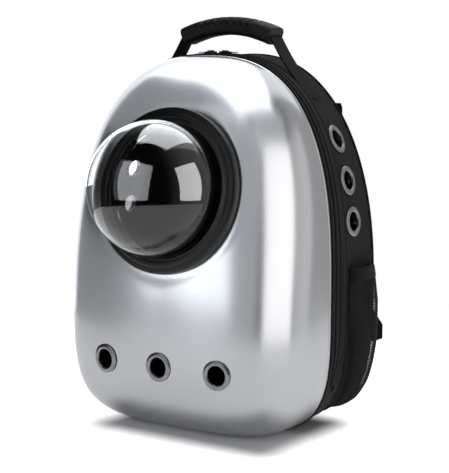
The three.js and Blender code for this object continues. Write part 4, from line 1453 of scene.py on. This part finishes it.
def strap_ring(centre, across, out, wide, thick, round_off=0.45):
    """A flat strap's section with rounded edges, its corners in order."""
    ring = []
    for side, start in ((1, -pi / 2), (-1, pi / 2)):
        for turn in np.linspace(start, start + pi, 7):
            reach = side * (wide / 2 - thick * round_off) + cos(turn) * thick * round_off
            ring.append(centre + across * reach + out * sin(turn) * thick / 2)
        for step in (0.5, 0.0, -0.5):
            ring.append(centre + across * step * side * wide * 0.8 + out * side * thick / 2)
    return ring


def handle_line():
    """Centres, ways out and widths of the webbing, from the middle of the grip down the right."""
    rows = []
    for share in np.linspace(0, 1.0, 12):
        point, normal = arch(share)
        rows.append((point, normal, WEB_WIDE))
    lift_angle = angle_at(LIFT_HEIGHT, HANDLE_DEPTH)
    lift = on_body(HANDLE_DEPTH, lift_angle, WEB_OFF)
    start, normal = arch(1.0)
    run = (lift - start).normalized()
    out = Vector((-run.z, 0, run.x)).normalized()
    out = out if out.z > 0 else -out
    for share in np.linspace(0, 1, 16)[1:-1]:
        point = start.lerp(lift, share) - out * WEB_SAG * sin(pi * share)
        turn = normal.lerp(out, min(1, 3 * share)).normalized()
        if share > 0.7:
            turn = out.lerp(out_of_body(HANDLE_DEPTH, lift_angle), (share - 0.7) / 0.3).normalized()
        rows.append((point, turn, WEB_WIDE))
    for share in np.linspace(0, 1, 8):
        height = lerp(LIFT_HEIGHT, FOOT_HEIGHT, share)
        angle = angle_at(height, HANDLE_DEPTH)
        wide = lerp(WEB_WIDE, FOOT_WIDE, eased(share, 0, 0.6))
        rows.append((on_body(HANDLE_DEPTH, angle, WEB_OFF), out_of_body(HANDLE_DEPTH, angle), wide))
    return rows


half_line = handle_line()
other_half = [(centre * MIRROR, out * MIRROR, wide) for centre, out, wide in half_line[:0:-1]]
handle_strap = loft(
    "handle_webbing",
    [strap_ring(centre, BACK, out, wide, WEB_THICK) for centre, out, wide in other_half + half_line],
)
settle(handle_strap, webbing_weave, "webbing", "handle_strap", smooth=60)

# %% [markdown]
# ## The padded back
#
# The side that lies against the wearer is foam under air mesh, sewn into channels so that air can
# pass. It starts as a rounded slab skinned from the edge inwards. Its face is then pressed in
# along the channels, and left flat where the straps' yoke lies on it.

# %% Shape the back pad
BACK_FACE, PAD_THICK, PAD_INSET = 106.3 * MM, 14 * MM, 4.3 * MM
CHANNEL_WIDE, CHANNEL_DEEP = 9 * MM, 5.0 * MM
CHANNEL_HEIGHTS = (100 * MM, 215 * MM)
YOKE_LOW = 340 * MM
PAD_START = BACK_FACE - PAD_THICK
# share of the outline's size, share of the thickness
PAD_RIM = [
    (1, 0.0), (1, 0.12), (1, 0.28), (0.992, 0.46), (0.98, 0.64), (0.962, 0.8), (0.935, 0.91),
    (0.90, 0.97), (0.86, 0.995),
]


def channel(x, z):
    """How deep the sewn channels press the face, from 0 to 1."""
    depth = np.exp(-((x / CHANNEL_WIDE) ** 4))
    if z > YOKE_LOW - 25 * MM:
        depth *= 1 - eased(z, YOKE_LOW - 25 * MM, YOKE_LOW - 8 * MM)
    for height in CHANNEL_HEIGHTS:
        arc = z - height - 0.10 * abs(x)
        ends = 1 - eased(abs(x), 110 * MM, 135 * MM)
        depth = max(depth, 0.9 * np.exp(-((arc / (0.6 * CHANNEL_WIDE)) ** 4)) * ends)
    return depth


def pad_ring(size, rise):
    ring = []
    for angle in pad_angles:
        edge = on_body(BODY_DEPTH, angle, -PAD_INSET)
        x, z = edge.x * size, CROWN_HEIGHT + (edge.z - CROWN_HEIGHT) * size
        press = CHANNEL_DEEP * channel(x, z) * (1 if rise > 0.9 else rise)
        ring.append(Vector((x, RIM + PAD_START + PAD_THICK * rise - press, z)))
    return ring


pad_angles = even_angles(321)[:-1]
pad_sizes = PAD_RIM + [(size, 1.0) for size in np.linspace(0.83, 0.02, 60)]
back_pad = loft("back_pad", [pad_ring(size, rise) for size, rise in pad_sizes])
settle(back_pad, (air_mesh, lining_cloth_painted_shade), "back_mesh", "back_panel", smooth=80)
# The face towards the inside of the pack gets the lining: its own black, darkened further as painted
# shade.
for face in back_pad.data.polygons:
    face.material_index = int(face.normal.y < -0.5)

# %% Sew the yoke over the strap tops
YOKE_HALF, YOKE_FOOT, YOKE_TALL, YOKE_WALL = 112 * MM, 347 * MM, 18 * MM, 3 * MM
yoke_depth = RIM + BACK_FACE + SEAM_GAP + YOKE_WALL / 2 + 0.1 * MM
yoke_rings = []
for x in np.linspace(-YOKE_HALF, YOKE_HALF, 121):
    ends = min(1, (YOKE_HALF - abs(x)) / (1.2 * MM) + 0.5)
    puff = 0.2 * MM * sin(2 * pi * x / (17 * MM))
    centre = Vector((x, yoke_depth, YOKE_FOOT + YOKE_TALL / 2 + puff))
    yoke_rings.append(strap_ring(centre, UP, BACK, YOKE_TALL * ends, YOKE_WALL * ends))
yoke = loft("strap_yoke", yoke_rings)
settle(yoke, body_cloth, "body_cloth", "back_yoke", smooth=60)

# %% [markdown]
# ## Shoulder straps
#
# A strap is foam between two cloths, bound round its edge, with webbing sewn down its middle. It
# leaves the yoke, stands off the back in a slack curve and sweeps outwards. Seven stations give
# its course, and a smooth curve through them gives the rings.

# %% The strap's course
STRAP_OUTER, STRAP_WIDE, STRAP_THICK = 112 * MM, 56 * MM, 11 * MM
STRAP_SLACK, STRAP_SWEEP, STRAP_LONG = 22 * MM, 26 * MM, 190 * MM
# down, off, aside, width, thickness: shares of the whole
STRAP_RUN = np.array([
    (0.00, 0.00, 0.00, 1.00, 0.50), (0.08, 0.06, 0.00, 1.00, 0.90), (0.30, 0.55, 0.00, 1.00, 1.00),
    (0.55, 1.00, 0.04, 1.00, 1.00), (0.78, 0.95, 0.26, 0.96, 1.00), (0.93, 0.80, 0.68, 0.84, 0.90),
    (1.00, 0.72, 1.00, 0.66, 0.45),
])


def through(stations, shares):
    """A smooth curve through stations: each column on its own, by the first column."""
    xs = stations[:, 0]
    slopes = np.gradient(stations, xs, axis=0)
    rows = []
    for share in shares:
        i = min(max(int(np.searchsorted(xs, share)) - 1, 0), len(xs) - 2)
        span = xs[i + 1] - xs[i]
        t = (share - xs[i]) / span
        low, high = stations[i], stations[i + 1]
        rows.append(
            (2 * t**3 - 3 * t**2 + 1) * low + (t**3 - 2 * t**2 + t) * span * slopes[i]
            + (3 * t**2 - 2 * t**3) * high + (t**3 - t**2) * span * slopes[i + 1]
        )
    return np.array(rows)


def strap_centre(row):
    return Vector((
        STRAP_OUTER - STRAP_WIDE / 2 + STRAP_SWEEP * row[2],
        RIM + BACK_FACE + SEAM_GAP + STRAP_THICK / 2 + STRAP_SLACK * row[1],
        YOKE_FOOT - SEAM_GAP - STRAP_LONG * row[0],
    ))


strap_rows = through(STRAP_RUN, np.linspace(0, 1, 97))
strap_line = [strap_centre(row) for row in strap_rows]


def strap_frame(index):
    """The way along, across and out of the strap at a ring."""
    before, after = strap_line[max(0, index - 1)], strap_line[min(len(strap_line) - 1, index + 1)]
    run = (after - before).normalized()
    across = run.cross(BACK).normalized()
    return run, across, across.cross(run)


# %% Pad the straps
def strap_section(index):
    row = strap_rows[index]
    _, across, out = strap_frame(index)
    share = row[0]
    quilt = 0.12 * (0.5 + 0.5 * sin(2 * pi * share * 9)) * min(1, 8 * share, 8 * (1 - share))
    ring = []
    for turn in np.linspace(0, 2 * pi, 49)[:-1]:
        flat, high = squared(cos(turn), 0.45), squared(sin(turn), 0.8) * (1 - quilt)
        dip = 1 - 0.22 * np.exp(-(((abs(flat) - 0.86) / 0.05) ** 2))
        aside = across * flat * STRAP_WIDE * row[3] / 2
        ring.append(strap_line[index] + aside + out * high * dip * STRAP_THICK * row[4] / 2)
    return ring


strap = loft("strap_pad_right", [strap_section(index) for index in range(len(strap_rows))])
soften(strap, 0.8 * MM, 2, 60)
for pad in settle_pair(strap, body_cloth, "body_cloth", "shoulder_strap_right", smooth=80):
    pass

# %% Bind the straps' edges and sew on their webbing
TOP_WEB_WIDE, TOP_WEB_THICK = 25 * MM, 1.8 * MM


def edge_ring(index, side):
    row = strap_rows[index]
    _, across, out = strap_frame(index)
    centre = strap_line[index] + across * side * (STRAP_WIDE * row[3] / 2 - 0.6 * MM)
    thick = min(3.4 * MM, STRAP_THICK * row[4] * 0.45)
    return [
        centre + across * cos(turn) * 2.0 * MM + out * sin(turn) * thick / 2
        for turn in np.linspace(0, 2 * pi, 13)[:-1]
    ]


for side, word in ((1, "outer"), (-1, "inner")):
    edge = loft(
        f"strap_binding_{word}_right", [edge_ring(i, side) for i in range(1, len(strap_rows) - 1)]
    )
    settle_pair(edge, binding_tape, "binding_cloth", smooth=60)
run_rings = []
for index in range(2, len(strap_rows)):
    _, across, out = strap_frame(index)
    lift = STRAP_THICK * strap_rows[index][4] / 2 * 0.98 + 0.4 * MM
    centre = strap_line[index] + out * lift
    run_rings.append(strap_ring(centre, across, out, TOP_WEB_WIDE, TOP_WEB_THICK))
strap_web = loft("strap_top_webbing_right", run_rings)
settle_pair(strap_web, webbing_weave, "webbing", smooth=60)

# %% [markdown]
# The strap's lower end holds a ladder adjuster. Webbing runs from it to a folded tab in the side
# seam.

# %% The lower webbing's line
TAB_HEIGHT, TAB_LONG, TAB_REACH, TAB_WALL, TAB_HOLD = 105 * MM, 26 * MM, 13 * MM, 3 * MM, 0.3
TAB_SHOWN = 0.75  # the folded tab stops short of the stay that it covers
PIPE_WIDE, PIPE_PROUD = 5 * MM, 1.2 * MM
LOWER_WIDE, LOWER_THICK = 25 * MM, 1.8 * MM
ADJUSTER_WIDE, ADJUSTER_TALL, ADJUSTER_WALL = 36 * MM, 26 * MM, 3.6 * MM
ADJUSTER_BAR, ADJUSTER_SLOT = 4 * MM, 5 * MM
TAB_LIFT = TAB_WALL / 2 + SEAM_GAP + PIPE_PROUD / 2

tab_angle = angle_at(TAB_HEIGHT, BODY_DEPTH)
tab_seam = on_body(BODY_DEPTH + PIPE_WIDE, tab_angle)
tab_tip = tab_seam + Vector((TAB_REACH, 2 * PIPE_WIDE, 0))
tab_out = UP.cross(tab_tip - tab_seam).normalized()


def lower_line():
    """Start, end, run, across and out of the webbing between the strap and the tab."""
    start = strap_centre(STRAP_RUN[-1])
    hold = tab_seam.lerp(tab_tip, TAB_HOLD)
    end = hold
    for turn in range(3):
        run = (end - start).normalized()
        across = run.cross(BACK).normalized()
        out = across.cross(run).normalized()
        spread = (LOWER_WIDE * abs(across.dot(tab_out)) + LOWER_THICK) / 2
        if turn < 2:
            end = hold + tab_out * (TAB_WALL / 2 + SEAM_GAP + spread + TAB_LIFT * (1 - TAB_HOLD))
    return start, end, run, across, out


web_start, web_end, web_run, web_across, web_out = lower_line()

# %% Mould the adjuster and run the webbing
slot_half = LOWER_WIDE / 2 + 2 * SEAM_GAP
columns = [-ADJUSTER_WIDE / 2, -slot_half, slot_half, ADJUSTER_WIDE / 2]
slot_far = ADJUSTER_BAR / 2 + ADJUSTER_SLOT
rows = [-ADJUSTER_TALL / 2, -slot_far, -ADJUSTER_BAR / 2, ADJUSTER_BAR / 2, slot_far, ADJUSTER_TALL / 2]
adjuster = begin(
    "ladder_adjuster_right", bpy.ops.mesh.primitive_grid_add, x_subdivisions=3, y_subdivisions=5, size=1
)
for corner in adjuster.data.vertices:
    column, row = round((corner.co.x + 0.5) * 3), round((corner.co.y + 0.5) * 5)
    corner.co = (columns[column], 0, rows[row])
with editing(adjuster, "FACE", False) as mesh:
    for face in mesh.faces:
        middle = face.calc_center_median()
        face.select = abs(middle.x) < slot_half and ADJUSTER_BAR / 2 < abs(middle.z) < slot_far
    bpy.ops.mesh.delete(type="FACE")
    bpy.ops.mesh.select_all(action="SELECT")
    bpy.ops.mesh.normals_make_consistent(inside=False)
modify(adjuster, "SOLIDIFY", thickness=ADJUSTER_WALL, offset=0)
soften(adjuster, 1.0 * MM, 3, 40)
middle = web_start + web_run * (SEAM_GAP + ADJUSTER_TALL / 2)
adjuster.data.transform(placed(middle, web_across, web_out, web_run))
settle_pair(adjuster, buckle_plastic, "buckle_plastic", "strap_adjuster_right")

low_start = web_start + web_run * (2 * SEAM_GAP + ADJUSTER_TALL)
lower = loft(
    "lower_webbing_right",
    [
        strap_ring(
            low_start.lerp(web_end, share) - web_out * 1.5 * MM * sin(pi * share),
            web_across, web_out, LOWER_WIDE, LOWER_THICK,
        )
        for share in np.linspace(0, 1, 40)
    ],
)
settle_pair(lower, webbing_weave, "webbing", "strap_webbing_right", smooth=60)

# %% Fold the side tabs
tab_rings = []
for share in np.linspace(0, TAB_SHOWN, 16):
    centre = tab_seam.lerp(tab_tip, share) + tab_out * TAB_LIFT * (1 - share)
    tall = TAB_LONG * lerp(1, 0.55, share)
    thick = TAB_WALL * (1 if share < TAB_SHOWN else 0.6)
    tab_rings.append(strap_ring(centre, UP, tab_out, tall, thick))
tab = loft("folded_tab_right", tab_rings)
settle_pair(tab, binding_tape, "binding_cloth", "strap_tab_right", smooth=60)

# %% [markdown]
# ## Stitches
#
# Rows of thread hold all of it together. Each row is a line on the surface it sews.

# %% Sew the long rows
STITCH_ON = 0.1 * MM
BINDING_TROUGH, FOLD_TROUGH = 6.0 * MM, 0.52  # where the binding and the fold are pressed in
TAPE_ROWS = (10.6 * MM, 27.2 * MM)
sew("binding_stitches", [seam_line(BINDING_TROUGH, 1.0 * MM + STITCH_ON)], thread_black)
fold_row = seam_line(lambda angle: on_fold(FOLD_TROUGH, angle), 1.5 * MM, fold_angles)
sew("fold_stitches", [fold_row], thread_black)
tape_rows = [seam_line(lambda angle: narrowed(row, angle), TAPE_TOP, zip_angles) for row in TAPE_ROWS]
sew("tape_stitches", tape_rows, thread_black)


# %% Sew the hems, the handle's feet and the yoke
def both_sides(lines):
    """The lines, and their mirror images."""
    return lines + [([p * MIRROR for p in line], [o * MIRROR for o in out]) for line, out in lines]


hem_lines = []
for height in (HEM_LOW + 2.2 * MM, HEM_LOW + 4.6 * MM, POCKET_TOP - 2.5 * MM):
    angle = angle_at(height, POCKET_MIDDLE)
    share = (height - HEM_LOW) / (POCKET_TOP - HEM_LOW)
    line = []
    for across in np.linspace(0.04, 0.96, 30):
        thick = HEM_WALL * (0.45 + 0.55 * min(1, 7 * across, 7 * (1 - across)))
        line.append(on_pocket(across, angle, HEM_OPEN * share * sin(pi * across) + thick))
    hem_lines.append((line, [out_of_body(POCKET_MIDDLE, angle)] * len(line)))
sew("hem_stitches", both_sides(hem_lines), thread_black)

foot_lines = []
for height in (LIFT_HEIGHT - 0.5 * MM, LIFT_HEIGHT - 4 * MM, FOOT_HEIGHT + 2.5 * MM):
    angle = angle_at(height, HANDLE_DEPTH)
    depths = np.linspace(HANDLE_DEPTH - 12 * MM, HANDLE_DEPTH + 12 * MM, 12)
    line = [on_body(depth, angle, WEB_OFF + WEB_THICK / 2) for depth in depths]
    foot_lines.append((line, [out_of_body(HANDLE_DEPTH, angle)] * len(line)))
sew("handle_stitches", both_sides(foot_lines), thread_black, "webbing")

yoke_lines = []
for height in (YOKE_FOOT + 2.2 * MM, YOKE_FOOT + YOKE_TALL - 2.2 * MM):
    line = [
        Vector((x, yoke_depth + YOKE_WALL / 2, height))
        for x in np.linspace(-YOKE_HALF + 2 * MM, YOKE_HALF - 2 * MM, 60)
    ]
    yoke_lines.append((line, [BACK] * len(line)))
sew("yoke_stitches", yoke_lines, thread_black)

# %% [markdown]
# ## The floor
#
# Two sheets lie under the pack. The camera sees a white paper that glows, with a painted shadow
# close to the pack, as in a catalogue picture. The bubble and the shell reflect a round grey table
# top instead, which glows too and has a painted shadow near the pack. Its edge gives the bubble its
# horizon.

# %% Lay the paper and the table top
# The glow fades to nothing within these reaches of a box round the pack's foot: a painted contact shadow.
TABLE_RADIUS, TABLE_SIDES, TABLE_GLOW, TABLE_PAINTED_SHADOW = 0.80, 96, 0.49, 0.06
PAPER_LIFT, PAPER_PAINTED_SHADOW = 0.2 * MM, 0.050
PAINTED_SHADOW_MIDDLE, PAINTED_SHADOW_HALF = (0.025, 0.005), (0.095, 0.065)  # what the pack stands on, roughly


def make_floor_finish(name, glow, shade):
    """Pale paper that glows, with a painted shadow: the glow fades to nothing near the pack."""
    finish = Finish(name)
    x, y = (
        finish.node("ShaderNodeSeparateXYZ", None, {0: finish.place()}, axis) for axis in ("X", "Y")
    )
    off_x, off_y = (
        finish.maths("MAXIMUM", abs(value - middle) - half, 0.0)
        for value, middle, half in zip((x, y), PAINTED_SHADOW_MIDDLE, PAINTED_SHADOW_HALF)
    )
    # Painted contact shadow: no glow at the pack, full glow a shadow's reach from it
    away = ((off_x * off_x + off_y * off_y) ** 0.5).ease(0, shade)
    return finish.close(
        Base_Color=(0.93, 0.93, 0.94, 1),
        Roughness=0.6,
        Emission_Color=finish.tint(away, grey(0), grey(glow)),
        Emission_Strength=1.0,
    )


def lay_sheet(name, finish, height):
    sheet = begin(
        name, bpy.ops.mesh.primitive_circle_add, vertices=TABLE_SIDES, radius=TABLE_RADIUS,
        fill_type="NGON", location=(0, 0, height),
    )
    sheet.data.materials.append(finish)
    sheet.visible_shadow = False
    sheet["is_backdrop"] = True
    return sheet


table = lay_sheet("table_top", make_floor_finish("table_grey", TABLE_GLOW, TABLE_PAINTED_SHADOW), 0)
table.visible_camera = False
paper = lay_sheet("white_paper", make_floor_finish("white_paper", 1.0, PAPER_PAINTED_SHADOW), PAPER_LIFT)
paper.visible_glossy = paper.visible_diffuse = paper.visible_transmission = False

# %% Write the sizes and finish
made_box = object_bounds()
growth = [[round((a - b) / MM, 1) for a, b in zip(x, y)] for x, y in zip(made_box, cad_box)]
print("grown by (mm)", growth)
